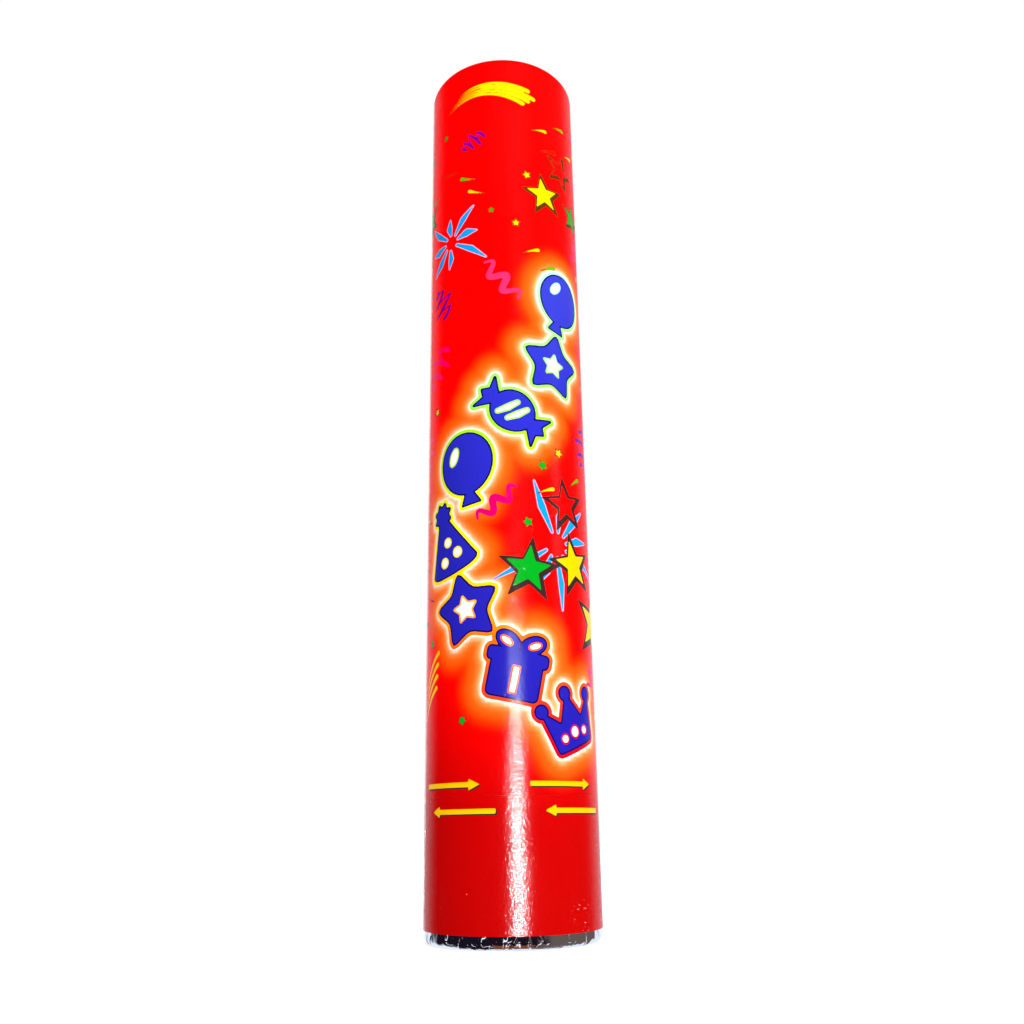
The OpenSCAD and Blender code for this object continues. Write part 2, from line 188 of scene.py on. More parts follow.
class Graph(NodeTree):
    """A material's node tree round one Principled shader."""

    def __init__(self, name: str) -> None:
        """Start a material.

        Args:
            name: The material's name.
        """
        self.material = bpy.data.materials.new(name)
        self.material.use_nodes = True
        super().__init__(self.material.node_tree)
        self.shader = self.tree.nodes["Principled BSDF"]

    def place(self, squeeze: float = 1.0) -> Socket:
        """Give the object's own coordinates, with the height times a factor."""
        inputs = {"Vector": self.coordinates(), "Scale": (1.0, 1.0, squeeze)}
        return self.node("ShaderNodeMapping", inputs).outputs["Vector"]

    def noise(self, grain: Grain, output: str = "Fac") -> Socket:
        """Add a noise texture of a pattern, and give one of its outputs."""
        inputs = {"Vector": self.place(grain.squeeze), "Scale": grain.scale, "Detail": grain.detail,
                  "Roughness": grain.rough}
        return self.node("ShaderNodeTexNoise", inputs).outputs[output]

    def cells(self, scale: float, feature: str = "F1", vector: Socket | None = None) -> bpy.types.Node:
        """Add a cell texture that reads the given coordinates, or else the object's own."""
        inputs = {"Vector": self.place() if vector is None else vector, "Scale": scale}
        return self.node("ShaderNodeTexVoronoi", inputs, feature=feature)

    def vector(self, operation: str, *values: object, output: str = "Vector") -> Socket:
        """Add a vector math node on its values."""
        made = self.node("ShaderNodeVectorMath", dict(enumerate(values)), operation=operation)
        return made.outputs[output]

    def attribute(self, name: str) -> Socket:
        """Give the colour that the mesh stores under a name."""
        return self.node("ShaderNodeAttribute", attribute_name=name).outputs["Color"]

    def blend(self, share: object, first: Rgb, second: Rgb) -> Socket:
        """Mix two screen colours."""
        return self.mix(share, opaque(first), opaque(second))

    def bump(self, height: Socket, depth: float, strength: float = 1.0,
             below: Socket | None = None) -> Socket:
        """Add a bump.

        Args:
            height: The height map, from 0 to 1.
            depth: Real depth in metres that 1 stands for.
            strength: Share of the bump that shows.
            below: The normal of a coarser bump under this one.

        Returns:
            The bumped normal.
        """
        made = self.node("ShaderNodeBump", {"Strength": strength, "Distance": depth, "Height": height})
        if below is not None:
            self.wire(below, made.inputs["Normal"])
        return made.outputs["Normal"]

    def finish(self, **values: object) -> Material:
        """Set or link the shader's inputs.

        Args:
            **values: The inputs, by their names with underscores.

        Returns:
            The finished material.
        """
        for key, value in values.items():
            self.wire(value, self.shader.inputs[key.replace("_", " ")])
        return self.material


# Finishes


@dataclass(frozen=True)
class LaminatedPrint:
    """Glossy film on printed paper, with a fine orange-peel grain and a few scuffs low on the grip."""

    name: str = "laminated_print"
    ink_attribute: str = "ink"
    roughness: float = 0.5
    coat_roughness: float = 0.13
    coat_ior: float = 1.22
    peel: Grain = Grain(2000.0, 1, 0.5, 1.2)
    peel_depth: float = 0.078 * MM
    paper_share: float = 0.3
    film_span: Span = (0.4, 0.56, 0.35, 1.0)
    tone_span: Span = (0.4, 0.58, 0.06, 0.0)
    sag: Grain = Grain(55, 1)
    sag_depth: float = 0.11 * MM
    scuff: Rgb = (250, 205, 200)
    specks: Grain = Grain(700, 3, 0.7, 3.0)
    speck_span: Span = (0.66, 0.7, 0.0, 0.8)
    patches: Grain = Grain(70)
    patch_span: Span = (0.6, 0.67, 0.0, 1.0)
    scuffed_heights: Span = (0.010, 0.06, 1.0, 0.0)

    def material(self) -> Material:
        """Build the label's material, which takes its colour from the printed sheet's corners.

        Returns:
            The finished material.
        """
        g = Graph(self.name)
        specks = g.span(g.noise(self.specks), *self.speck_span)
        patches = g.span(g.noise(self.patches), *self.patch_span)
        height = g.split(g.place())[2]
        scuffs = g.times(specks, patches, g.span(height, *self.scuffed_heights))
        soft = g.bump(g.noise(self.sag), self.sag_depth)
        peel = g.noise(self.peel)
        tone = g.mix(g.span(peel, *self.tone_span), g.attribute(self.ink_attribute), BLACK)
        return g.finish(Base_Color=g.mix(scuffs, tone, opaque(self.scuff)), Roughness=self.roughness,
                        Specular_IOR_Level=0.0, Coat_Weight=g.span(peel, *self.film_span),
                        Coat_Roughness=self.coat_roughness, Coat_IOR=self.coat_ior,
                        Normal=g.bump(peel, self.peel_depth * self.paper_share, 1.0, soft),
                        Coat_Normal=g.bump(peel, self.peel_depth, 1.0, soft))


@dataclass(frozen=True)
class WhitePaper:
    """Bare uncoated paper at the label's cut edges and on its back."""

    name: str = "label_paper"
    colour: Rgb = (236, 232, 224)
    shade: Rgb = (214, 208, 198)
    roughness: float = 0.85
    fibre: Grain = Grain(900, 4, 0.6)
    shade_span: Span = (0.3, 0.7, 0.0, 1.0)
    fibre_depth: float = 0.03 * MM

    def material(self) -> Material:
        """Build the paper with a little fibre.

        Returns:
            The finished material.
        """
        g = Graph(self.name)
        fibre = g.noise(self.fibre)
        return g.finish(Base_Color=g.blend(g.span(fibre, *self.shade_span), self.colour, self.shade),
                        Roughness=self.roughness, Normal=g.bump(fibre, self.fibre_depth, 0.5))


@dataclass(frozen=True)
class CrinkledFoil:
    """Mirror film that was pressed over an edge by hand: tilted facets between sparse bent creases."""

    name: str = "crinkled_foil"
    tint: Rgb = (222, 224, 232)
    drift: Grain = Grain(150.0, squeeze=0.6)
    sway: float = 0.006
    facet_scale: float = 105.0
    facet_tilt: float = 0.2
    dents: Grain = Grain(120)
    dent_depth: float = 0.3 * MM
    crease_span: Span = (0.0, 0.035, 1.0, 0.0)
    crease_depth: float = 0.12 * MM
    creased: Grain = Grain(75, 1)
    creased_span: Span = (0.42, 0.56, 0.0, 1.0)
    wrinkles: Grain = Grain(900, 3, 0.6, 0.3)
    wrinkle_depth: float = 0.03 * MM
    wrinkled: Grain = Grain(90)
    wrinkled_span: Span = (0.54, 0.64, 0.0, 1.0)
    smears: Grain = Grain(180, 3, 0.6)
    roughness_span: Span = (0.35, 0.75, 0.03, 0.1)

    def material(self) -> Material:
        """Build the foil from tilted cells, a ridge along each bent border, and fine wrinkles.

        Returns:
            The finished material.
        """
        g = Graph(self.name)
        drift = g.noise(self.drift, "Color")
        bent = g.vector("MULTIPLY_ADD", drift, (self.sway,) * 3, g.place(self.drift.squeeze))
        facets = g.cells(self.facet_scale, "F1", bent).outputs
        away = g.vector("SUBTRACT", bent, facets["Position"])
        lean = g.vector("SUBTRACT", facets["Color"], (0.5, 0.5, 0.5))
        tilt = g.times(g.vector("DOT_PRODUCT", away, lean, output="Value"), self.facet_tilt)
        faceted = g.bump(tilt, 1.0, 1.0, g.bump(g.noise(self.dents), self.dent_depth))
        border = g.cells(self.facet_scale, "DISTANCE_TO_EDGE", bent).outputs["Distance"]
        crease = g.times(g.span(border, *self.crease_span),
                         g.span(g.noise(self.creased), *self.creased_span))
        sharp = g.bump(crease, self.crease_depth, 1.0, faceted)
        fine = g.times(g.noise(self.wrinkles), g.span(g.noise(self.wrinkled), *self.wrinkled_span))
        return g.finish(Base_Color=opaque(self.tint), Metallic=1.0,
                        Roughness=g.span(g.noise(self.smears), *self.roughness_span),
                        Normal=g.bump(fine, self.wrinkle_depth, 1.0, sharp))


@dataclass(frozen=True)
class WoundBoard:
    """Spiral-wound grey board: slanting ply joints and fibres outside, and stacked plies at a cut end."""

    name: str
    colour: Rgb = (176, 152, 120)
    dark: Rgb = (128, 106, 80)
    joint: Rgb = (92, 74, 54)
    cut: Rgb = (186, 166, 138)
    glue: Rgb = (118, 98, 74)
    pitch: float = 46 * MM
    ply: float = 0.45 * MM
    roughness: float = 0.88
    joint_span: Span = (0.0, 0.012, 1.0, 0.0)
    joint_share: float = 0.75
    fibre: Grain = Grain(260, 5, 0.65, 5.0)
    fibre_span: Span = (0.32, 0.68, 0.0, 0.7)
    fibre_share: float = 0.35
    fleck: Grain = Grain(1400, 3, 0.7)
    fleck_span: Span = (0.62, 0.74, 0.0, 0.6)
    end_span: Span = (0.6, 0.85, 0.0, 1.0)
    glue_span: Span = (0.02, 0.16, 1.0, 0.0)
    glue_share: float = 0.7
    relief: float = 0.12 * MM
    relief_share: float = 0.6

    def material(self) -> Material:
        """Build the board's material from the angle, radius and height on the tube.

        Returns:
            The finished material.
        """
        g = Graph(self.name)
        x, y, height = g.split(g.place())
        angle = g.math("ARCTAN2", y, x)
        turn = g.math("DIVIDE", angle, 2 * math.pi)
        turns = g.math("SUBTRACT", g.math("DIVIDE", height, self.pitch), turn)
        joint = g.span(g.math("PINGPONG", turns, 0.5), *self.joint_span)
        fibre = g.noise(self.fibre)
        fleck = g.span(g.noise(self.fleck), *self.fleck_span)
        ends = g.span(g.math("ABSOLUTE", g.split(g.coordinates("Normal"))[2]), *self.end_span)
        plies = g.math("PINGPONG", g.math("DIVIDE", g.length(x, y), self.ply), 0.5)
        glue = g.span(plies, *self.glue_span)
        side = g.blend(g.span(fibre, *self.fibre_span), self.colour, self.dark)
        side = g.mix(fleck, side, opaque(self.dark))
        wall = g.mix(g.times(joint, self.joint_share), side, opaque(self.joint))
        cut = g.blend(g.times(glue, self.glue_share), self.cut, self.glue)
        grooves = g.math("MAXIMUM", joint, g.times(ends, glue))
        relief = g.math("SUBTRACT", g.times(fibre, self.fibre_share), grooves)
        return g.finish(Base_Color=g.mix(ends, wall, cut), Roughness=self.roughness,
                        Normal=g.bump(relief, self.relief, self.relief_share))


@dataclass(frozen=True)
class DrawnMetal:
    """Metal with fine rings from drawing or turning, and a faint handled haze."""

    name: str
    colour: Rgb = (212, 213, 215)
    roughness: float = 0.28
    dull: Rgb = (176, 176, 176)
    rings: Grain = Grain(60, 4, 0.7, 60.0)
    ring_depth: float = 0.02 * MM
    ring_share: float = 0.35
    ring_span: Span = (0.3, 0.7, 0.0, 0.06)
    haze: Grain = Grain(90, 4, 0.6)
    haze_span: Span = (0.4, 0.75, 0.0, 0.35)

    def material(self) -> Material:
        """Build the metal, whose rings follow the height.

        Returns:
            The finished material.
        """
        g = Graph(self.name)
        rings = g.noise(self.rings)
        haze = g.noise(self.haze)
        rough = g.math("ADD", g.span(haze, 0.3, 0.7, self.roughness * 0.8, self.roughness * 1.3),
                       g.span(rings, *self.ring_span))
        return g.finish(Base_Color=g.blend(g.span(haze, *self.haze_span), self.colour, self.dull),
                        Metallic=1.0, Roughness=rough,
                        Normal=g.bump(rings, self.ring_depth, self.ring_share))


@dataclass(frozen=True)
class MouldedPlastic:
    """Moulded plastic with a fine eroded texture and faint flow marks."""

    name: str
    colour: Rgb
    roughness: float = 0.42
    erosion: Grain = Grain(2600)
    erosion_depth: float = 0.012 * MM
    erosion_share: float = 0.6
    flow: Grain = Grain(120, 3, 0.55)
    flow_span: Span = (0.35, 0.75, 0.0, 0.6)
    flow_shade: float = 0.9

    def material(self) -> Material:
        """Build the plastic, slightly uneven in tone and gloss.

        Returns:
            The finished material.
        """
        g = Graph(self.name)
        flow = g.noise(self.flow)
        shade = tuple(c * self.flow_shade for c in self.colour)
        return g.finish(Base_Color=g.blend(g.span(flow, *self.flow_span), self.colour, shade),
                        Roughness=g.span(flow, 0.3, 0.7, self.roughness * 0.85, self.roughness * 1.2),
                        Normal=g.bump(g.noise(self.erosion), self.erosion_depth, self.erosion_share))


@dataclass(frozen=True)
class SealRubber:
    """Black rubber with a greasy sheen in patches."""

    name: str = "seal_rubber"
    colour: Rgb = (28, 28, 29)
    dusty: Rgb = (74, 72, 70)
    dust: Grain = Grain(1800, 2, 0.6)
    dust_span: Span = (0.6, 0.75, 0.0, 0.3)
    grease: Grain = Grain(240, 3, 0.6)
    roughness_span: Span = (0.4, 0.6, 0.3, 0.7)
    pores: Grain = Grain(1500)
    pore_depth: float = 0.01 * MM
    pore_share: float = 0.5

    def material(self) -> Material:
        """Build the rubber, dusty where it is not greased.

        Returns:
            The finished material.
        """
        g = Graph(self.name)
        dust = g.span(g.noise(self.dust), *self.dust_span)
        return g.finish(Base_Color=g.blend(dust, self.colour, self.dusty),
                        Roughness=g.span(g.noise(self.grease), *self.roughness_span),
                        Normal=g.bump(g.noise(self.pores), self.pore_depth, self.pore_share))


@dataclass(frozen=True)
class CellFoam:
    """White polyethylene foam with fine closed cells."""

    name: str = "cell_foam"
    colour: Rgb = (240, 240, 236)
    shade: Rgb = (206, 206, 202)
    roughness: float = 0.8
    glow_through: float = 0.15
    big_cells: float = 1500.0
    big_depth: float = 0.14 * MM
    big_share: float = 0.7
    shade_span: Span = (0.3, 0.8, 0.0, 0.5)
    small_cells: float = 3400.0
    small_depth: float = 0.05 * MM
    small_share: float = 0.4

    def material(self) -> Material:
        """Build the foam from two sizes of cells.

        Returns:
            The finished material.
        """
        g = Graph(self.name)
        big, small = (g.cells(scale).outputs["Distance"] for scale in (self.big_cells, self.small_cells))
        coarse = g.bump(big, self.big_depth, self.big_share)
        return g.finish(Base_Color=g.blend(g.span(big, *self.shade_span), self.colour, self.shade),
                        Roughness=self.roughness, Subsurface_Weight=self.glow_through,
                        Normal=g.bump(small, self.small_depth, self.small_share, coarse))


@dataclass(frozen=True)
class TissuePaper:
    """Coloured tissue, in the colour that each sheet carries."""

    name: str
    roughness: float = 0.7
    tint_attribute: str = "tint"
    wrinkles: Grain = Grain(700, 4, 0.6, 0.25)
    wrinkle_depth: float = 0.08 * MM
    wrinkle_share: float = 0.6

    def material(self) -> Material:
        """Build the paper from the sheets' own tints, with fine wrinkles.

        Returns:
            The finished material.
        """
        g = Graph(self.name)
        return g.finish(Base_Color=g.attribute(self.tint_attribute), Roughness=self.roughness,
                        Normal=g.bump(g.noise(self.wrinkles), self.wrinkle_depth, self.wrinkle_share))


# Artwork of the label

PAPER: Rgb = (246, 240, 228)


@dataclass(frozen=True)
class Ink:
    """A printing ink, as colours at rising heights on the label, blended between them; the red's darkening
    low down is painted shade.
    """

    stops: tuple[tuple[float, Rgb], ...]

    def at(self, height: np.ndarray) -> np.ndarray:
        """Give the linear colour at each height.

        Args:
            height: Heights on the label in millimetres.

        Returns:
            One row of linear red, green and blue for each height.
        """
        levels = [stop[0] for stop in self.stops]
        colours = np.array([linear(stop[1]) for stop in self.stops])
        return np.stack([np.interp(height, levels, colours[:, k]) for k in range(3)], axis=-1)


def flat_ink(colour: Rgb) -> Ink:
    """Make an ink of one colour all over."""
    return Ink(((0.0, colour),))


class Inks(Enum):
    """The label's inks. The red darkens towards the bottom of the tube as painted shade."""

    # Painted shade: the red gets darker towards the bottom, where the lower tube lies in shade.
    RED_SHADED_LOW = Ink(((0, (168, 0, 0)), (34, (174, 0, 0)), (42, (190, 0, 0)), (70, (232, 0, 0)),
               (105, (255, 0, 0))))
    YELLOW = Ink(((40, (230, 178, 0)), (100, (228, 182, 0)), (250, (224, 186, 0))))
    GREEN = Ink(((120, (0, 148, 24)), (220, (50, 136, 8))))
    LIME = flat_ink((92, 160, 0))
    LIGHT_BLUE = flat_ink((10, 138, 206))
    PINK = flat_ink((250, 150, 180))
    MAGENTA = flat_ink((238, 0, 92))
    ROSE = flat_ink((244, 40, 92))
    PURPLE = flat_ink((96, 0, 128))
    DARK = Ink(((60, (44, 34, 38)), (150, (56, 26, 18)), (230, (82, 42, 8))))
    GLOW = flat_ink((255, 244, 226))
    BLUE = Ink(((60, (30, 24, 152)), (150, (36, 38, 172)), (220, (52, 60, 176))))
    BLUE_EDGE = flat_ink((14, 10, 78))
    OUTLINE = Ink(((55, (206, 0, 24)), (80, (250, 96, 0)), (105, (255, 222, 0)),
                   (145, (140, 210, 20)), (185, (150, 222, 130)), (215, (168, 222, 240))))


def segment_distance(s: np.ndarray, z: np.ndarray, start: Point,
                     end: Point) -> tuple[np.ndarray, np.ndarray]:
    """Measure from points to a segment.

    Args:
        s: The points' places round the tube.
        z: Their heights.
        start: The segment's start.
        end: Its end.

    Returns:
        The distances, and how far along the segment the nearest places lie.
    """
    dx, dy = end[0] - start[0], end[1] - start[1]
    length = max(dx * dx + dy * dy, 1e-12)
    along = np.clip(((s - start[0]) * dx + (z - start[1]) * dy) / length, 0, 1)
    return np.hypot(s - start[0] - along * dx, z - start[1] - along * dy), along


@dataclass(frozen=True)
class Mark:
    """A closed outline, or with widths a stroke along its points, on the flattened label in millimetres."""

    points: Sequence[Point]
    widths: Sequence[float] = ()

    def distance(self, s: np.ndarray, z: np.ndarray) -> np.ndarray:
        """Give the signed distance of points to the mark, negative inside it.

        Args:
            s: Places round the tube.
            z: Heights.

        Returns:
            The distance of each point, in millimetres.
        """
        best = np.full(s.shape, 1e9)
        if self.widths:
            for start, end, w0, w1 in zip(self.points, self.points[1:], self.widths, self.widths[1:]):
                away, along = segment_distance(s, z, start, end)
                best = np.minimum(best, away - (w0 + (w1 - w0) * along) / 2)
            return best
        inside = np.zeros(s.shape, bool)
        for (x0, y0), (x1, y1) in zip(self.points, [*self.points[1:], self.points[0]]):
            best = np.minimum(best, segment_distance(s, z, (x0, y0), (x1, y1))[0])
            if y0 != y1:
                crossing = (z > min(y0, y1)) & (z <= max(y0, y1))
                inside ^= crossing & (s < (x1 - x0) * (z - y0) / (y1 - y0) + x0)
        return np.where(inside, -best, best)

    def box(self) -> tuple[float, float, float, float]:
        """Give the lowest and highest place round the tube, and the lowest and highest height.

        Returns:
            The four limits.
        """
        xs, ys = zip(*self.points)
        reach = max(self.widths, default=0.0) / 2
        return min(xs) - reach, max(xs) + reach, min(ys) - reach, max(ys) + reach

    def moved(self, ds: float, dz: float = 0.0) -> Mark:
        """Give the mark moved round the tube and up it."""
        return Mark([(x + ds, y + dz) for x, y in self.points], self.widths)

    def placed(self, centre: Point, size: float = 1.0, turn: float = 0.0) -> Mark:
        """Give the mark scaled, turned and moved.

        Args:
            centre: Where its origin comes to lie.
            size: Its scale.
            turn: Degrees against the clock.

        Returns:
            The placed mark.
        """
        c, s = math.cos(math.radians(turn)), math.sin(math.radians(turn))
        points = [(centre[0] + size * (x * c - y * s), centre[1] + size * (x * s + y * c))
                  for x, y in self.points]
        return Mark(points, [w * size for w in self.widths])


Drawing = tuple[list[Mark], list[Mark]]


def on_curve(start: Point, bend: Point, end: Point, t: float) -> Point:
    """Give the place at a share of the way along a curve with one bend."""
    return tuple((1 - t) ** 2 * a + 2 * t * (1 - t) * b + t * t * c for a, b, c in zip(start, bend, end))


def towards(start: Point, end: Point, reach: float) -> Point:
    """Give the place that lies some way from one point to another.

    Args:
        start: The point to leave.
        end: The point to go to.
        reach: The way, of which at most 45 hundredths of the whole are gone.

    Returns:
        The place.
    """
    dx, dy = end[0] - start[0], end[1] - start[1]
    share = min(reach / math.hypot(dx, dy), 0.45)
    return start[0] + share * dx, start[1] + share * dy


def rounded(points: list[Point], radius: float, steps: int = 5) -> list[Point]:
    """Round the corners of an outline with short curves.

    Args:
        points: The outline's corners.
        radius: How far along each side the rounding reaches.
        steps: Points on each corner.

    Returns:
        The rounded outline.
    """
    made: list[Point] = []
    for before, corner, after in zip(points[-1:] + points[:-1], points, points[1:] + points[:1]):
        ends = towards(corner, before, radius), towards(corner, after, radius)
        made += [on_curve(ends[0], corner, ends[1], t) for t in np.linspace(0, 1, steps)]
    return made


def star(centre: Point, size: float, turn: float = 0.0, tips: int = 5, waist: float = 0.42,
         blunt: float = 0.02) -> Mark:
    """Make a star.

    Args:
        centre: Its middle.
        size: Its outer radius.
        turn: Degrees against the clock.
        tips: How many tips it has.
        waist: Its inner radius, as a share of the outer one.
        blunt: How far its tips and corners are rounded, as a share.

    Returns:
        The star.
    """
    corners = []
    for i in range(2 * tips):
        angle = math.pi / 2 + i * math.pi / tips
        reach = 1.0 if i % 2 == 0 else waist
        corners.append((reach * math.cos(angle), reach * math.sin(angle)))
    return Mark(rounded(corners, blunt, 3)).placed(centre, size, turn)


def oval(centre: Point, wide: float, high: float, turn: float = 0.0, steps: int = 28) -> Mark:
    """Make an oval of two half sizes."""
    points = [(wide * math.cos(a), high * math.sin(a)) for a in once_round(steps)]
    return Mark(points).placed(centre, turn=turn)


def spot(centre: Point, radius: float) -> Mark:
    """Make a round spot."""
    return oval(centre, radius, radius, steps=24)


def squiggle(centre: Point, length: float, height: float, width: float, turn: float) -> Mark:
    """Make a stroke of two and a half waves that thins at both ends.

    Args:
        centre: Its middle.
        length: Its length.
        height: The height of a wave over the middle line.
        width: The stroke's full width.
        turn: Degrees against the clock.

    Returns:
        The stroke.
    """
    waves, steps = 2.5, 31
    ts = np.linspace(0, 1, steps)
    line = [((t - 0.5) * length, height * math.sin(t * waves * 2 * math.pi)) for t in ts]
    return Mark(line, [width * (0.35 + 0.65 * math.sin(math.pi * t)) for t in ts]).placed(centre, turn=turn)


def streak(start: Point, bend: Point, end: Point, width: float) -> Mark:
    """Make a stroke that grows from a fine tail to a full head of a width, along a bent line."""
    ts = np.linspace(0, 1, 14)
    return Mark([on_curve(start, bend, end, t) for t in ts], [width * (0.06 + 0.94 * t ** 1.3) for t in ts])


FLUTTER = ((-1.0, 0.15), (-0.85, -0.25), (-0.6, 0.5), (-0.3, -0.6), (0.0, 0.8), (0.3, -0.7), (0.6, 0.5),
           (0.85, -0.3), (1.0, 0.15))
RAYS = (1.0, 0.55, 0.85, 0.45, 0.95, 0.6, 0.75, 0.5, 0.9)


def scribble(centre: Point, size: float, turn: float, width: float) -> Mark:
    """Make a quick fluttering brush scribble, thick on the way down and thin on the way up.

    Args:
        centre: Its middle.
        size: Its half length.
        turn: Degrees against the clock.
        width: The brush's width.

    Returns:
        The stroke.
    """
    line: list[Point] = []
    widths: list[float] = []
    for k, ((ax, ay), (bx, by)) in enumerate(zip(FLUTTER, FLUTTER[1:])):
        for t in np.linspace(0, 1, 7)[:-1]:
            sway = 0.1 * math.sin(math.pi * t) * (1 if k % 2 == 0 else -1)
            line.append((ax + (bx - ax) * t + sway, ay + (by - ay) * t))
            full = 0.3 + 0.7 * math.sin(math.pi * (0.15 + 0.7 * t))
            widths.append(width / size * (full if k % 2 == 0 else 0.4 * full))
    return Mark(line, widths).placed(centre, size, turn)


def burst(centre: Point, inner: float, outer: float, angles: np.ndarray, width: float) -> list[Mark]:
    """Make a fan of brushed rays of uneven lengths.

    Args:
        centre: The fan's middle.
        inner: Where the rays start.
        outer: Where the longest one ends.
        angles: The rays' angles in degrees.
        width: A ray's full width.

    Returns:
        The rays.
    """
    made = []
    for i, angle in enumerate(angles):
        reach = inner + (outer - inner) * RAYS[i % len(RAYS)]
        waist = width * (0.5 + 0.5 * RAYS[(i + 3) % len(RAYS)])
        line = [(inner, 0.0), ((inner + reach) / 2, 0.5), (reach, 0.0)]
        made.append(Mark(line, [width * 0.3, waist, width * 0.15]).placed(centre, turn=angle))
    return made


def arrow(tail: Point, length: float, way: int) -> Mark:
    """Make a plain arrow round the tube.

    Args:
        tail: The middle of its blunt end.
        length: Its length.
        way: 1 to the right and -1 to the left.

    Returns:
        The arrow's outline.
    """
    shaft, head, head_length = 1.3 / 2, 3.0 / 2, 3.3
    neck = length - head_length
    half = [(0, shaft), (neck, shaft), (neck, head)]
    points = [(x, -y) for x, y in half] + [(length, 0)] + half[::-1]
    return Mark([(tail[0] + way * x, tail[1] + y) for x, y in points])


def balloon_marks() -> Drawing:
    """Draw a balloon with its knot, and a window's reflection on it.

    Returns:
        The body's marks and the pale details.
    """
    body = [(0.84 * math.cos(a) * (1 + 0.08 * math.sin(a)), 0.12 + 0.92 * math.sin(a))
            for a in once_round(40)]
    knot = Mark([(-0.06, -0.7), (0.06, -0.7), (0.27, -1.12), (-0.27, -1.12)])
    return [Mark(body), knot], [oval((-0.33, 0.46), 0.13, 0.27, -28)]


def hat_marks() -> Drawing:
    """Draw a pointed hat with a tuft and dots.

    Returns:
        The body's marks and the pale details.
    """
    brim = [(0.86 * math.cos(a), -0.74 + 0.24 * math.sin(a)) for a in np.linspace(math.pi, 2 * math.pi, 12)]
    tuft = star((0.0, 0.88), 0.4, 10, 8, 0.66, 0.1)
    dots = [spot((-0.26, -0.55), 0.13), spot((0.3, -0.45), 0.13), spot((0.02, -0.02), 0.12)]
    return [Mark(brim + [(0.12, 0.8), (-0.12, 0.8)]), tuft], dots


def gift_marks() -> Drawing:
    """Draw a wrapped box with a lid, a ribbon and a bow of two loops.

    Returns:
        The body's marks and the pale details.
    """
    box = rounded([(-0.8, -0.95), (0.8, -0.95), (0.8, 0.2), (-0.8, 0.2)], 0.16)
    lid = rounded([(-0.96, 0.12), (0.96, 0.12), (0.96, 0.5), (-0.96, 0.5)], 0.12)
    ribbon = Mark([(-0.1, -0.8), (0.1, -0.8), (0.1, 0.0), (-0.1, 0.0)])
    loops, holes = ([oval((way * away, 0.74), wide, high, way * 28) for way in (-1, 1)]
                    for away, wide, high in ((0.4, 0.42, 0.26), (0.46, 0.2, 0.09)))
    return [Mark(box), Mark(lid), *loops], [ribbon, *holes]


def crown_marks() -> Drawing:
    """Draw a crown of three points with a jewel under each.

    Returns:
        The body's marks and the pale details.
    """
    corners = [(-0.82, -0.8), (0.82, -0.8), (1.02, 0.5), (0.46, -0.02), (0.0, 0.8), (-0.46, -0.02),
               (-1.02, 0.5)]
    knobs = [spot((-1.0, 0.56), 0.19), spot((0.0, 0.84), 0.2), spot((1.0, 0.56), 0.19)]
    jewels = [spot((-0.48, -0.44), 0.13), spot((0.0, -0.36), 0.17), spot((0.48, -0.44), 0.13)]
    return [Mark(rounded(corners, 0.08)), *knobs], jewels


def star_marks() -> Drawing:
    """Draw a fat star with a smaller one in it."""
    return [star((0.0, 0.0), 1.12, 0.0, 5, 0.56, 0.14)], [star((0.0, 0.0), 0.4, 0.0, 5, 0.52, 0.05)]


def sweet_marks() -> Drawing:
    """Draw a wrapped sweet with stripes.

    Returns:
        The body's marks and the pale details.
    """
    wing = [(0.45, 0.0), (1.0, 0.5), (0.9, 0.16), (1.08, 0.0), (0.9, -0.16), (1.0, -0.5)]
    body = [oval((0.0, 0.0), 0.64, 0.56), Mark(wing), Mark([(-x, y) for x, y in wing])]
    stripes = [Mark([(x - 0.12, -0.26), (x + 0.04, 0.0), (x + 0.16, 0.28)], [0.1, 0.16, 0.1])
               for x in (-0.2, 0.14)]
    return body, stripes


class Shape(Enum):
    """The chunky party shapes of the label's main row, each drawn at about a half height of 1."""

    BALLOON = member(balloon_marks)
    HAT = member(hat_marks)
    GIFT = member(gift_marks)
    CROWN = member(crown_marks)
    STAR = member(star_marks)
    SWEET = member(sweet_marks)


@dataclass
class Plate:
    """One printing plate: the marks that one ink prints, grown by a margin."""

    ink: Inks
    marks: list[Mark]
    grow: float = 0.0


HERO_ROW = ((Shape.CROWN, (19, 58), 9.0, 20), (Shape.GIFT, (2, 72), 9.0, -12),
            (Shape.STAR, (-13, 89), 9.8, 14), (Shape.HAT, (-20, 110), 10.2, 16),
            (Shape.BALLOON, (-13, 132), 10.4, 10), (Shape.SWEET, (2, 149), 11.0, -38),
            (Shape.STAR, (16, 166), 9.8, -8), (Shape.BALLOON, (20, 189), 9.8, -14))
SPARKS = ((13, 253, 12), (22, 258, 16), (17, 246, 14), (28, 250, 20), (-12, 234, 160), (-20, 239, 166),
          (-9, 228, 158), (-29, 234, 170), (35, 97, 28), (12, 124, 20), (24, 129, 34), (34, 124, 30),
          (-32, 120, 150), (-35, 105, 160), (-30, 95, 155), (9, 205, 20), (15, 200, 24))
BIG_STARS = ((Inks.RED_SHADED_LOW, (19, 121), 8.4, 10), (Inks.GREEN, (6, 100), 7.2, -6),
             (Inks.YELLOW, (22, 103), 7.4, 14), (Inks.YELLOW, (34, 87), 9.0, -12),
             (Inks.RED_SHADED_LOW, (22, 241), 7.0, -14), (Inks.YELLOW, (14, 228), 6.2, 10),
             (Inks.GREEN, (29, 226), 5.4, -8), (Inks.LIME, (-34, 228), 4.8, 18))
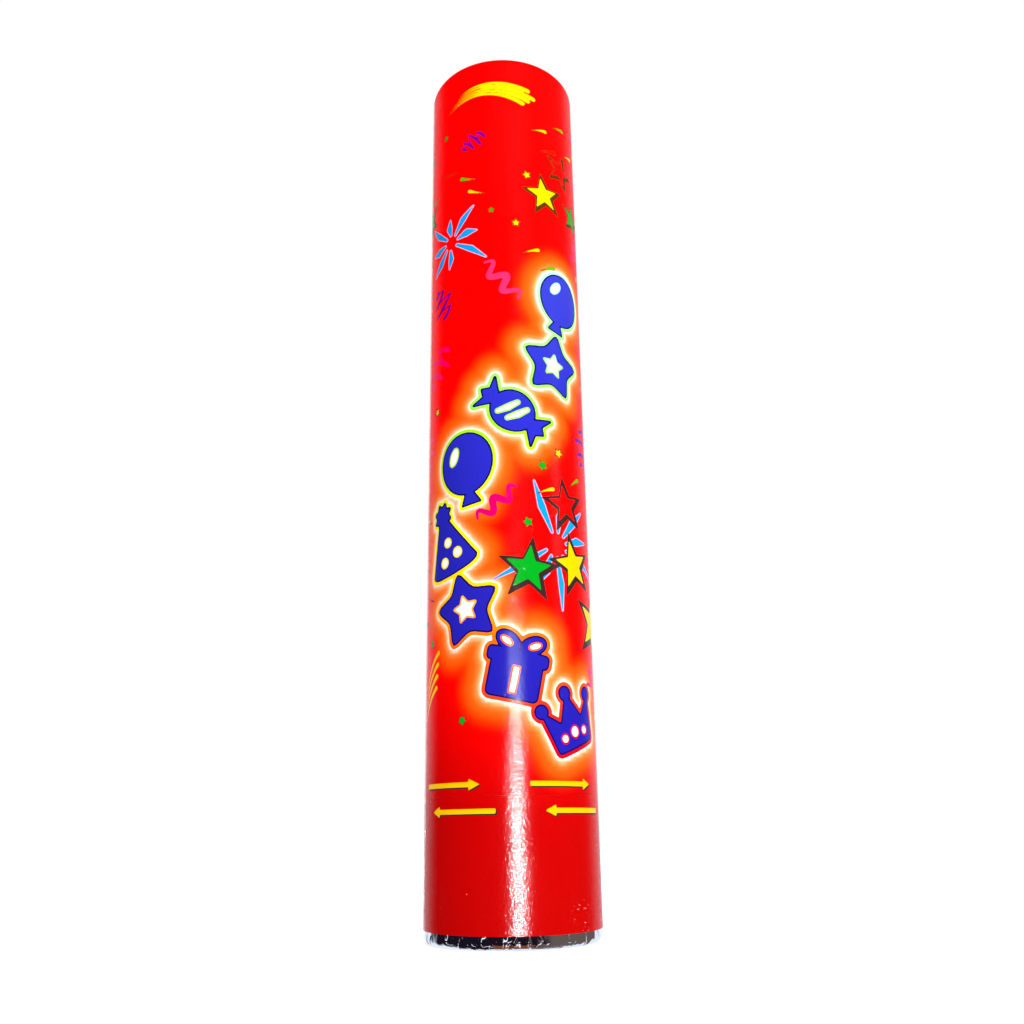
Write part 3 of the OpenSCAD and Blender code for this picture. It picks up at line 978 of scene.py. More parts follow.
SMALL_STARS = ((4, 215, 1.5), (-4, 220, 1.3), (8, 234, 1.6), (11, 132, 1.9), (17, 137, 1.7),
               (-28, 81, 1.6), (33, 205, 1.5), (-33, 252, 1.7), (-26, 154, 1.5), (6, 114, 1.8),
               (34, 165, 1.6), (-14, 58, 1.5), (35, 60, 1.6), (-22, 255, 1.4), (34, 255, 1.6),
               (-36, 182, 1.6))
GLOW_STOPS = ((0.0, (244, 232, 220)), (0.05, (242, 186, 140)), (0.14, (240, 128, 58)), (0.3, (238, 88, 14)),
              (0.6, (236, 62, 0)), (0.85, (238, 30, 0)), (1.0, (240, 0, 0)))


@dataclass
class Artwork:
    """The whole label's print on the flattened tube, in millimetres: s runs round it and z up it."""

    radius: float = 25.0
    lap_angle: float = -77.0
    lap_reach: float = 4.0
    glow_reach: float = 9.5
    outline: float = 1.45
    edge: float = 0.5
    turn: float = 0.0
    hero: list[Mark] = field(default_factory=list)
    plates: list[Plate] = field(default_factory=list)

    @property
    def around(self) -> float:
        """Give the distance once round the tube."""
        return 2 * math.pi * self.radius

    @property
    def start(self) -> float:
        """Give the place of the lap joint, where the sheet starts."""
        return math.radians(self.lap_angle) * self.radius

    @property
    def end(self) -> float:
        """Give the place where the sheet ends, once round from its start."""
        return self.start + self.around

    def on_sheet(self, marks: list[Mark]) -> list[Mark]:
        """Move each mark by whole turns onto the sheet, and repeat one that crosses the lap joint.

        Args:
            marks: The marks, anywhere round the tube.

        Returns:
            The marks on the sheet.
        """
        made = []
        for mark in marks:
            low, high, _, _ = mark.box()
            shift = -self.around * math.floor(((low + high) / 2 - self.start) / self.around)
            made.append(mark.moved(shift))
            if low + shift < self.start + self.lap_reach:
                made.append(mark.moved(shift + self.around))
            if high + shift > self.end - self.lap_reach:
                made.append(mark.moved(shift - self.around))
        return made

    def add(self, ink: Inks, marks: list[Mark], grow: float = 0.0) -> None:
        """Add a plate on top of those before it."""
        self.plates.append(Plate(ink, self.on_sheet(marks), grow))

    def outlined(self, marks: list[Mark], fill: Inks, edge: Inks, width: float) -> None:
        """Add marks with an edge of another ink round them."""
        self.add(edge, marks, width)
        self.add(fill, marks)

    def compose(self) -> None:
        """Draw every plate, from the lowest ink to the highest, once for each side of the tube."""
        for draw in (self.draw_swooshes, self.draw_bursts, self.draw_scribbles, self.draw_hero,
                     self.draw_sparks, self.draw_stars):
            for turn in (0.0, self.around / 2):
                self.turn = turn
                draw()
        self.draw_arrows()

    def draw_swooshes(self) -> None:
        """Draw the dry brush strokes near the muzzle and low on the barrel."""
        high = [streak((-22 + 1.3 * k, 263 + 1.2 * k), (-8, 270 + 0.8 * k),
                       (7 + (k % 3) * 2.0, 262.5 + 1.4 * k), 1.7) for k in range(5)]
        low = [streak((-34 + 0.5 * k, 55 + 3.0 * k), (-31, 64 + 2.9 * k), (-25 + 0.4 * k, 68 + 3.3 * k), 1.3)
               for k in range(4)]
        self.add(Inks.YELLOW, [mark.moved(self.turn) for mark in high + low])

    def draw_bursts(self) -> None:
        """Draw the light-blue fans of brushed rays."""
        fans = burst((-19, 212), 3.0, 16, np.linspace(-35, 265, 8), 2.8)
        fans += burst((15, 108), 4, 22, np.linspace(-150, 110, 9), 2.6)
        self.outlined([mark.moved(self.turn) for mark in fans], Inks.LIGHT_BLUE, Inks.PINK, 0.22)

    def draw_scribbles(self) -> None:
        """Draw the magenta, rose and purple scribbles."""
        magenta = [scribble((-25, 169), 7.5, 52, 1.7), squiggle((31, 215), 13, 1.8, 1.6, 66),
                   squiggle((-3, 120), 15, 1.8, 2.2, 38), squiggle((31, 72), 12, 1.5, 1.6, 60)]
        rose = [squiggle((-1, 194), 17, 2.2, 2.3, -52), scribble((-33, 141), 7, 66, 1.5)]
        purple = [scribble((-24, 191), 6.5, -62, 1.4), scribble((31, 143), 7.0, 78, 1.4),
                  scribble((-10, 248), 4.6, 28, 1.1)]
        for ink, marks in ((Inks.MAGENTA, magenta), (Inks.ROSE, rose), (Inks.PURPLE, purple)):
            self.add(ink, [mark.moved(self.turn) for mark in marks])

    def draw_hero(self) -> None:
        """Draw the row of blue party shapes that winds up the tube, with its outlines."""
        bodies, details = [], []
        for shape, (s, z), size, angle in HERO_ROW:
            for kept, marks in zip((bodies, details), shape.value()):
                kept += [mark.placed((s + self.turn, z), size, angle) for mark in marks]
        self.hero += self.on_sheet(bodies)
        for ink, grow in ((Inks.OUTLINE, self.outline), (Inks.BLUE_EDGE, self.edge), (Inks.BLUE, 0.0)):
            self.add(ink, bodies, grow)
        for ink, grow in ((Inks.OUTLINE, 0.4), (Inks.GLOW, -0.12)):
            self.add(ink, details, grow)

    def draw_sparks(self) -> None:
        """Draw the short flying sparks, some of them hollow."""
        spark = streak((-3.2, 0), (0, 0.5), (2.6, 0.2), 1.25)
        for first, (ink, edge) in enumerate(((Inks.YELLOW, 0.12), (Inks.LIME, 0.12), (Inks.RED_SHADED_LOW, 0.2))):
            marks = [spark.placed((s + self.turn, z), turn=angle) for s, z, angle in SPARKS[first::3]]
            self.outlined(marks, ink, Inks.DARK, edge)

    def draw_stars(self) -> None:
        """Draw the clusters of stars, which have dark sharp borders, and the small ones between them."""
        for fill, (s, z), size, angle in BIG_STARS:
            border, middle = (1.12, 0.74) if fill is Inks.RED_SHADED_LOW else (1.42, 1.0)
            self.add(Inks.DARK, [star((s + self.turn + 0.4, z - 0.3), size * border, angle)])
            self.add(fill, [star((s + self.turn, z), size * middle, angle)])
        for first, (ink, edge) in enumerate(((Inks.YELLOW, 0.3), (Inks.GREEN, 0.1))):
            marks = [star((s + self.turn, z), r, 23 * i)
                     for i, (s, z, r) in enumerate(SMALL_STARS[first::2])]
            self.outlined(marks, ink, Inks.DARK, edge)

    def draw_arrows(self) -> None:
        """Draw the plain twist arrows on both sides of the twist seam."""
        arrows = [arrow((-29.6 + 34.7 * k, 41.0), 21.0, 1) for k in range(-1, 3)]
        arrows += [arrow((-4.2 + 35.0 * k, 34.1), 21.6, -1) for k in range(0, 4)]
        self.add(Inks.DARK, [mark.moved(0.3, -0.3) for mark in arrows], 0.1)
        self.add(Inks.YELLOW, arrows)

    def ground(self, z: np.ndarray, away: np.ndarray) -> np.ndarray:
        """Give the colour of the bare ground, which glows round the main row and whose red darkens towards
        the bottom as painted shade.

        Args:
            z: Heights in millimetres.
            away: Distances to the main row's shapes.

        Returns:
            One row of linear red, green and blue for each place.
        """
        reach = np.clip((away - self.outline) / self.glow_reach, 0, 1)
        fade = np.interp(reach, [0.0, 0.5, 1.0], [1.0, 1.0, 0.0])[..., None]
        return Inks.RED_SHADED_LOW.value.at(z) * (1 - fade) + Ink(GLOW_STOPS).at(reach) * fade


@dataclass
class DistanceMap:
    """Signed distances to a set of marks on a grid of the flattened label."""

    low: Point
    step: float
    values: np.ndarray

    @classmethod
    def of(cls, plate: Plate, low: Point, high: Point, step: float, reach: float) -> DistanceMap:
        """Measure the distances near a plate's marks.

        Args:
            plate: The marks, and how far their edges move out.
            low: The grid's lowest corner.
            high: The grid's highest corner.
            step: The grid's spacing.
            reach: How far from a mark the distances are kept.

        Returns:
            The map, which holds the reach wherever no mark is near.
        """
        across, up = (np.arange(low[k], high[k] + step, step) for k in (0, 1))
        values = np.full((len(across), len(up)), reach)
        margin = plate.grow + reach
        for mark in plate.marks:
            s0, s1, z0, z1 = mark.box()
            i = slice(*np.searchsorted(across, (s0 - margin, s1 + margin)))
            j = slice(*np.searchsorted(up, (z0 - margin, z1 + margin)))
            if i.stop > i.start and j.stop > j.start:
                s, z = np.meshgrid(across[i], up[j], indexing="ij")
                values[i, j] = np.minimum(values[i, j], mark.distance(s, z) - plate.grow)
        return cls(low, step, values)

    def at(self, s: np.ndarray, z: np.ndarray) -> np.ndarray:
        """Give the distance at any places, blended between the grid's points.

        Args:
            s: Places round the tube.
            z: Heights.

        Returns:
            The distance at each.
        """
        x = np.clip((s - self.low[0]) / self.step, 0, self.values.shape[0] - 1.001)
        y = np.clip((z - self.low[1]) / self.step, 0, self.values.shape[1] - 1.001)
        i, j = x.astype(int), y.astype(int)
        u, v = x - i, y - j
        grid = self.values
        lower = grid[i, j] * (1 - u) + grid[i + 1, j] * u
        upper = grid[i, j + 1] * (1 - u) + grid[i + 1, j + 1] * u
        return lower * (1 - v) + upper * v

    def edges(self) -> tuple[np.ndarray, np.ndarray]:
        """Trace where the distance is nothing.

        Returns:
            The points of the traced line, and pairs of their numbers that it joins.
        """
        v = self.values
        points, numbers = [], []
        count = 0
        for axis in (0, 1):
            a, b = (v[:-1], v[1:]) if axis == 0 else (v[:, :-1], v[:, 1:])
            crossed = (a < 0) != (b < 0)
            i, j = np.nonzero(crossed)
            share = a[i, j] / (a[i, j] - b[i, j])
            s = self.low[0] + self.step * (i + (share if axis == 0 else 0))
            z = self.low[1] + self.step * (j + (share if axis == 1 else 0))
            number = np.full(crossed.shape, -1)
            number[i, j] = count + np.arange(len(i))
            count += len(i)
            points.append(np.stack([s, z], axis=1))
            numbers.append(number)
        across, up = numbers
        cells = np.stack([across[:, :-1], up[1:, :], across[:, 1:], up[:-1, :]], axis=-1).reshape(-1, 4)
        hits = (cells >= 0).sum(axis=1)
        pairs = -np.sort(-cells[hits == 2], axis=1)[:, :2]
        saddles = cells[hits == 4]
        return np.concatenate(points), np.concatenate([pairs, saddles[:, :2], saddles[:, 2:]])


# Meshes


def make_piece(name: str, mesh: Mesh, materials: list[Material], body: str,
               node: str) -> bpy.types.Object:
    """Put a finished mesh in the scene as a piece of the object.

    Args:
        name: The piece's name.
        mesh: Its mesh, already in place.
        materials: Its materials, in the order of the faces' numbers.
        body: The body that it rides on.
        node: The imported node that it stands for.

    Returns:
        The new object.
    """
    piece = bpy.data.objects.new(name, mesh)
    bpy.context.scene.collection.objects.link(piece)
    mesh.materials.clear()
    for material in materials:
        mesh.materials.append(material)
    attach(piece, body)
    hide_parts(node)
    LOG.info("%s: %d faces on %s", name, len(mesh.polygons), body)
    return piece


def unit(rows: np.ndarray) -> np.ndarray:
    """Scale each row of an array to a length of 1."""
    return rows / np.linalg.norm(rows, axis=1)[:, None]


def arc(middle: Point, radius: float, first: float, last: float, count: int) -> list[Point]:
    """Give points on an arc between two angles in degrees."""
    turns = [math.radians(a) for a in np.linspace(first, last, count)]
    return [(middle[0] + radius * math.cos(t), middle[1] + radius * math.sin(t)) for t in turns]


def turned(radius: np.ndarray, height: np.ndarray, angle: np.ndarray) -> np.ndarray:
    """Turn a profile round the tube's axis.

    Args:
        radius: Distances from the axis in millimetres, by place along the profile and round it.
        height: Heights, likewise.
        angle: The angles round the axis.

    Returns:
        Points in metres, by place along the profile, place round it and coordinate.
    """
    return np.stack([radius * np.cos(angle), radius * np.sin(angle), height + 0 * angle], axis=-1) * MM


def revolve(name: str, rings: np.ndarray, smooth_angle: float) -> Mesh:
    """Close a stack of rings into a solid whose first and last rings shrink to a pole.

    Args:
        name: The mesh's name.
        rings: Points in metres, by ring, place round it and coordinate. The first and last are poles.
        smooth_angle: Edges sharper than this angle in degrees stay sharp.

    Returns:
        The closed mesh.
    """
    count, round_it = rings.shape[:2]
    points = np.concatenate([rings[:1, 0], rings[1:-1].reshape(-1, 3), rings[-1:, 0]])
    last = len(points) - 1
    faces: list[tuple[int, ...]] = []
    for k in range(round_it):
        n = (k + 1) % round_it
        faces.append((0, 1 + n, 1 + k))
        for i in range(count - 3):
            a = 1 + i * round_it
            faces.append((a + k, a + n, a + round_it + n, a + round_it + k))
        top = 1 + (count - 3) * round_it
        faces.append((last, top + k, top + n))
    mesh = bpy.data.meshes.new(name)
    mesh.from_pydata(points.tolist(), [], faces)
    mesh.validate()
    mesh.shade_smooth()
    mesh.set_sharp_from_angle(angle=math.radians(smooth_angle))
    return mesh


@dataclass
class PrintedSheet:
    """The label's paper: cuts the artwork into triangles along its edges and wraps them round the tube."""

    art: Artwork
    outer: float = 24.93
    inner: float = 24.77
    flap: float = 6.0
    flap_rise: float = 0.07
    bare_edge: float = 0.3
    top: float = 281.0
    margin: float = 1.0
    step: float = 0.35
    reach: float = 2.0
    glow_step: float = 0.8
    glow_reach: float = 5.0
    hidden_depth: float = 0.25
    outline_margin: float = 0.3
    clear_of_edges: float = 0.45
    lattice_margin: Point = (0.6, 0.7)
    plain_lattice: Point = (2.4, 4.0)
    glow_lattice: Point = (1.0, 1.3)
    glow_lattice_reach: float = 3.0
    points_round: int = 158
    rise_between_points: float = 2.5
    merge: float = 0.004
    maps: list[DistanceMap] = field(default_factory=list)
    glow: DistanceMap | None = None

    def prepare(self) -> None:
        """Measure the distance maps of all plates and of the main row's glow."""
        low, high = (self.art.start - self.margin, 0.0), (self.art.end + self.margin, self.top)
        self.maps = [DistanceMap.of(plate, low, high, self.step, self.reach) for plate in self.art.plates]
        hero = Plate(Inks.GLOW, self.art.hero)
        self.glow = DistanceMap.of(hero, low, high, self.glow_step, self.art.glow_reach + self.glow_reach)
        LOG.info("artwork: %d plates", len(self.maps))

    def inside(self, places: np.ndarray, low: float, high: float, margin: float = 0.0) -> np.ndarray:
        """Tell which flat places lie on the sheet between two heights.

        Args:
            places: Rows of place round the tube and height.
            low: The lower height.
            high: The upper one.
            margin: How far outside they may lie.

        Returns:
            True for each place that does.
        """
        s, z = places[:, 0], places[:, 1]
        round_it = (s > self.art.start - margin) & (s < self.art.end + margin)
        return round_it & (z > low - margin) & (z < high + margin)

    def outlines(self, low: float, high: float) -> tuple[list[Point], list[tuple[int, int]]]:
        """Trace the edges that show between two heights, without those under a higher plate.

        Args:
            low: The lower height.
            high: The upper one.

        Returns:
            The points of the edges, and pairs of their numbers that they join.
        """
        points: list[Point] = []
        joined: list[tuple[int, int]] = []
        cover = np.full(self.maps[0].values.shape, 9.0)
        for chart in reversed(self.maps):
            traced, pairs = chart.edges()
            if len(pairs):
                middle = (traced[pairs[:, 0]] + traced[pairs[:, 1]]) / 2
                shown = DistanceMap(chart.low, chart.step, cover).at(*middle.T) > -self.hidden_depth
                shown &= self.inside(middle, low, high, self.outline_margin)
                kept, number = np.unique(pairs[shown], return_inverse=True)
                joined += [tuple(p) for p in (number.reshape(-1, 2) + len(points)).tolist()]
                points += [tuple(p) for p in traced[kept].tolist()]
            cover = np.minimum(cover, chart.values)
        return points, joined

    def lattice(self, low: float, high: float) -> list[Point]:
        """Give loose points between the outlines, closer where the ground glows.

        Args:
            low: The lower height.
            high: The upper one.

        Returns:
            The points.
        """
        made = []
        side, end = self.lattice_margin
        for (ds, dz), glowing in ((self.plain_lattice, False), (self.glow_lattice, True)):
            across = np.arange(self.art.start + side, self.art.end - side, ds)
            s, z = np.meshgrid(across, np.arange(low + end, high - end, dz), indexing="ij")
            s = s + np.where(np.arange(s.shape[1]) % 2 == 0, 0, ds / 2)[None, :]
            away = self.glow.at(s, z)
            near = (away > 0) & (away < self.art.glow_reach + self.glow_lattice_reach)
            keep = (near if glowing else ~near) & (s < self.art.end - side)
            for chart in self.maps:
                keep &= np.abs(chart.at(s, z)) > self.clear_of_edges
            made += list(zip(s[keep].tolist(), z[keep].tolist()))
        return made

    def heights(self, low: float, high: float) -> np.ndarray:
        """Give the heights of the points along an upright edge."""
        return np.linspace(low, high, max(2, int((high - low) / self.rise_between_points)))

    def border(self, low: float, high: float) -> list[Point]:
        """Give the sheet's outline between two heights, against the clock.

        Args:
            low: The lower height.
            high: The upper one.

        Returns:
            The outline's points.
        """
        first, last = self.art.start, self.art.end
        across = np.linspace(first, last, self.points_round)
        up = self.heights(low, high)
        return ([(s, low) for s in across[:-1]] + [(last, z) for z in up[:-1]]
                + [(s, high) for s in across[:0:-1]] + [(first, z) for z in up[:0:-1]])

    def cut(self, low: float, high: float) -> tuple[np.ndarray, np.ndarray]:
        """Cut the sheet between two heights into triangles.

        Args:
            low: The lower height.
            high: The upper one.

        Returns:
            The flat points, and the triangles as rows of their numbers.
        """
        edge = self.border(low, high)
        points, joined = self.outlines(low, high)
        strip = [(self.art.end - self.bare_edge, z) for z in self.heights(low, high).tolist()]
        joined += [(len(points) + k, len(points) + k + 1) for k in range(len(strip) - 1)]
        points += strip
        base = len(edge)
        links = [(i, (i + 1) % base) for i in range(base)] + [(a + base, b + base) for a, b in joined]
        flat = [Vector(p) for p in edge + points + self.lattice(low, high)]
        verts, _, faces, *_ = delaunay_2d_cdt(flat, links, [], 0, self.merge)
        places = np.array([(v.x, v.y) for v in verts])
        triangles = np.array([f for f in faces if len(f) == 3])
        return places, triangles[self.inside(places[triangles].mean(axis=1), low, high)]

    def paint(self, places: np.ndarray, triangles: np.ndarray) -> np.ndarray:
        """Give the colour of each triangle's corners.

        Args:
            places: The flat points.
            triangles: The triangles.

        Returns:
            Linear colours, by triangle, corner and channel.
        """
        corners = places[triangles]
        middle = corners.mean(axis=1)
        s, z = corners[..., 0], corners[..., 1]
        colours = self.art.ground(z, self.glow.at(s, z))
        for plate, chart in zip(self.art.plates, self.maps):
            hit = chart.at(*middle.T) < 0
            colours[hit] = plate.ink.value.at(z[hit])
        colours[middle[:, 0] > self.art.end - self.bare_edge] = linear(PAPER)
        return colours

    def wrap(self, places: np.ndarray, radius: np.ndarray | float) -> np.ndarray:
        """Wrap flat places round the tube at a radius."""
        angle = places[:, 0] / self.art.radius
        return np.stack([radius * np.sin(angle), -radius * np.cos(angle), places[:, 1]], axis=1) * MM

    def build(self, name: str, low: float, high: float, body: str, node: str,
              materials: list[Material]) -> None:
        """Build the label between two heights.

        Args:
            name: The piece's name.
            low: Its lower edge in millimetres.
            high: Its upper edge.
            body: The body that it rides on.
            node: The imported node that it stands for.
            materials: The print's material and the bare paper's.
        """
        places, triangles = self.cut(low, high)
        used, inverse = np.unique(triangles, return_inverse=True)
        places, triangles = places[used], inverse.reshape(-1, 3)
        rise = self.flap_rise * np.clip((places[:, 0] - self.art.end + self.flap) / self.flap, 0, 1)
        outside = self.wrap(places, self.outer + rise)
        loop = border_loop(triangles)
        rim = places[loop]
        inside = self.wrap(rim, self.inner)
        base, count = len(outside), len(loop)
        faces = [tuple(t) for t in triangles.tolist()]
        faces += [(base + a, base + c, base + b) for a, b, c in inner_triangles(rim)]
        faces += [(loop[(k + 1) % count], loop[k], base + k, base + (k + 1) % count) for k in range(count)]
        mesh = bpy.data.meshes.new(name)
        mesh.from_pydata(np.concatenate([outside, inside]).tolist(), [], faces)
        mesh.shade_smooth()
        mesh.polygons.foreach_set("material_index", (np.arange(len(faces)) >= len(triangles)).astype(int))
        self.colour(mesh, self.paint(places, triangles))
        self.straighten(mesh, len(triangles))
        make_piece(name, mesh, materials, body, node)

    @staticmethod
    def colour(mesh: Mesh, colours: np.ndarray) -> None:
        """Store the corners' colours, with bare paper for the faces after them.

        Args:
            mesh: The label's mesh, which starts with its printed triangles.
            colours: The colours of their corners.
        """
        layer = mesh.color_attributes.new("ink", "FLOAT_COLOR", "CORNER")
        full = np.ones((len(mesh.loops), 4))
        full[:, :3] = linear(PAPER)
        full[:colours.shape[0] * 3, :3] = colours.reshape(-1, 3)
        layer.data.foreach_set("color", full.ravel())

    @staticmethod
    def straighten(mesh: Mesh, printed: int) -> None:
        """Give the printed faces true radial normals, and the others their own.

        Args:
            mesh: The label's mesh.
            printed: How many of its faces are printed.
        """
        corner = values_of(mesh.loops, "vertex_index", int)
        radial = values_of(mesh.vertices, "co").reshape(-1, 3)[corner] * (1.0, 1.0, 0.0)
        flat = values_of(mesh.polygons, "normal").reshape(-1, 3)
        normals = np.repeat(flat, values_of(mesh.polygons, "loop_total", int), axis=0)
        normals[:printed * 3] = unit(radial)[:printed * 3]
        mesh.normals_split_custom_set(normals.tolist())


def values_of(items: bpy.types.bpy_prop_collection, name: str, kind: type = float) -> np.ndarray:
    """Read one property of all of a mesh's parts.

    Args:
        items: The mesh's vertices, corners or faces.
        name: The property.
        kind: The type of its numbers.

    Returns:
        The numbers in one row.
    """
    width = len(getattr(items[0], name)) if kind is float else 1
    values = np.empty(len(items) * width, kind)
    items.foreach_get(name, values)
    return values


def border_loop(triangles: np.ndarray) -> list[int]:
    """Find the outline of a flat mesh.

    Args:
        triangles: Rows of its points' numbers.

    Returns:
        The numbers of the points along the outline, in order against the clock.
    """
    sides = np.concatenate([triangles[:, [0, 1]], triangles[:, [1, 2]], triangles[:, [2, 0]]])
    seen = set(map(tuple, sides.tolist()))
    after = {a: b for a, b in seen if (b, a) not in seen}
    start = min(after)
    loop = [start]
    while after[loop[-1]] != start:
        loop.append(after[loop[-1]])
    return loop


def inner_triangles(rim: np.ndarray) -> list[tuple[int, int, int]]:
    """Fill a flat outline with triangles between its own points alone.

    Args:
        rim: The outline's points.

    Returns:
        The triangles, as numbers of those points.
    """
    count = len(rim)
    flat = [Vector(p) for p in rim.tolist()]
    sides = [(i, (i + 1) % count) for i in range(count)]
    verts, _, faces, origin, *_ = delaunay_2d_cdt(flat, sides, [], 0, 1e-7)
    number = {new: old[0] for new, old in enumerate(origin) if old}
    return [tuple(number[v] for v in f) for f in faces if len(f) == 3]


# Foil


@dataclass
class FoilCup:
    """Foil pressed into a cup, with folds that slant and cross."""

    name: str
    node: str
    body: str
    radius: float
    low: float
    high: float
    edge: float
    seed: int
    thickness: float = 0.1
    fold_depth: float = 0.16
    folds_round: int = 17
    segments: int = 720
    floor: tuple[Point, ...] = ((0, 0), (2, 0.3), (5, 0.5), (8, 0.6), (11, 0.6), (14, 0.6), (17, 0.7),
                               (19.5, 0.8), (21.5, 0.8))
    edge_share: float = 0.7
    rim_share: float = 0.6
    wall_step: float = 0.22
    smooth_angle: float = 16

    def outline(self) -> np.ndarray:
        """Give the cup's outer profile.

        Returns:
            Rows of radius, height and how much of the folds shows there.
        """
        rows = [(r, self.low, share) for r, share in self.floor]
        corner = arc((self.radius - self.edge, self.low + self.edge), self.edge, -90, 0, 9)
        rows += [(r, z, self.edge_share) for r, z in corner]
        wall = np.arange(self.low + self.edge + self.wall_step, self.high, self.wall_step)
        rows += [(self.radius, z, 1.0) for z in wall]
        return np.array(rows + [(self.radius, self.high, self.rim_share)])

    def folds(self, angle: np.ndarray, along: np.ndarray) -> np.ndarray:
        """Give how far the film lies below its ridges, from 0 on a ridge to 1 between them.

        Args:
            angle: Angles round the cup in radians.
            along: Distances along the profile in millimetres.

        Returns:
            The depth at each pair of them.
        """
        rng = np.random.default_rng(self.seed)
        ridge = np.zeros(np.broadcast(angle, along).shape)
        middle = self.radius + 1.5
        for k in range(self.folds_round):
            place = (k + rng.uniform(-0.42, 0.42)) / self.folds_round
            lean, bend = rng.uniform(-1.1, 1.1), rng.uniform(-0.3, 0.3)
            width, height = rng.uniform(0.13, 0.3), rng.uniform(0.45, 1.0)
            shift = lean * (along - middle) + bend * np.clip(along - middle, -8, 8) ** 2
            reach = np.minimum(self.radius, np.maximum(along, 3.0))
            away = (angle / (2 * math.pi) - place - shift / (2 * math.pi * self.radius) + 0.5) % 1.0 - 0.5
            away = away * 2 * math.pi * reach
            skew = np.where(away > 0, width, width * rng.uniform(1.5, 5.0))
            ridge = np.maximum(ridge, height * np.exp(-((away / skew) ** 2)))
        slow = 0.5 + 0.5 * np.sin(7 * angle + 0.21 * along + 1.3) * np.sin(5 * angle - 0.33 * along)
        return np.clip(1 - ridge - 0.3 * slow * (1 - ridge), 0, 1)

    def build(self, material: Material) -> None:
        """Build the cup as one closed thin shell.

        Args:
            material: The foil's material.
        """
        profile = self.outline()
        step = unit(np.gradient(profile[:, :2], axis=0))
        normal = np.stack([step[:, 1], -step[:, 0]], axis=1)
        along = np.concatenate([[0], np.cumsum(np.linalg.norm(np.diff(profile[:, :2], axis=0), axis=1))])
        angle = once_round(self.segments)
        depth = self.fold_depth * profile[:, 2:] * self.folds(angle[None, :], along[:, None])
        outer, inner = (turned(profile[:, :1] - normal[:, :1] * (depth + inset),
                               profile[:, 1:2] - normal[:, 1:] * (depth + inset), angle)
                        for inset in (0.0, self.thickness))
        outer[0, :, :2] = 0
        inner[0, :, :2] = 0
        mesh = revolve(self.name, np.concatenate([outer, inner[::-1]]), self.smooth_angle)
        make_piece(self.name, mesh, [material], self.body, self.node)


# Charge and spring

PARTY_TINTS: tuple[Rgb, ...] = ((198, 16, 44), (214, 160, 14), (14, 122, 62), (22, 84, 184), (206, 62, 124),
                                (216, 96, 12), (84, 34, 130), (40, 152, 184), (206, 202, 192))


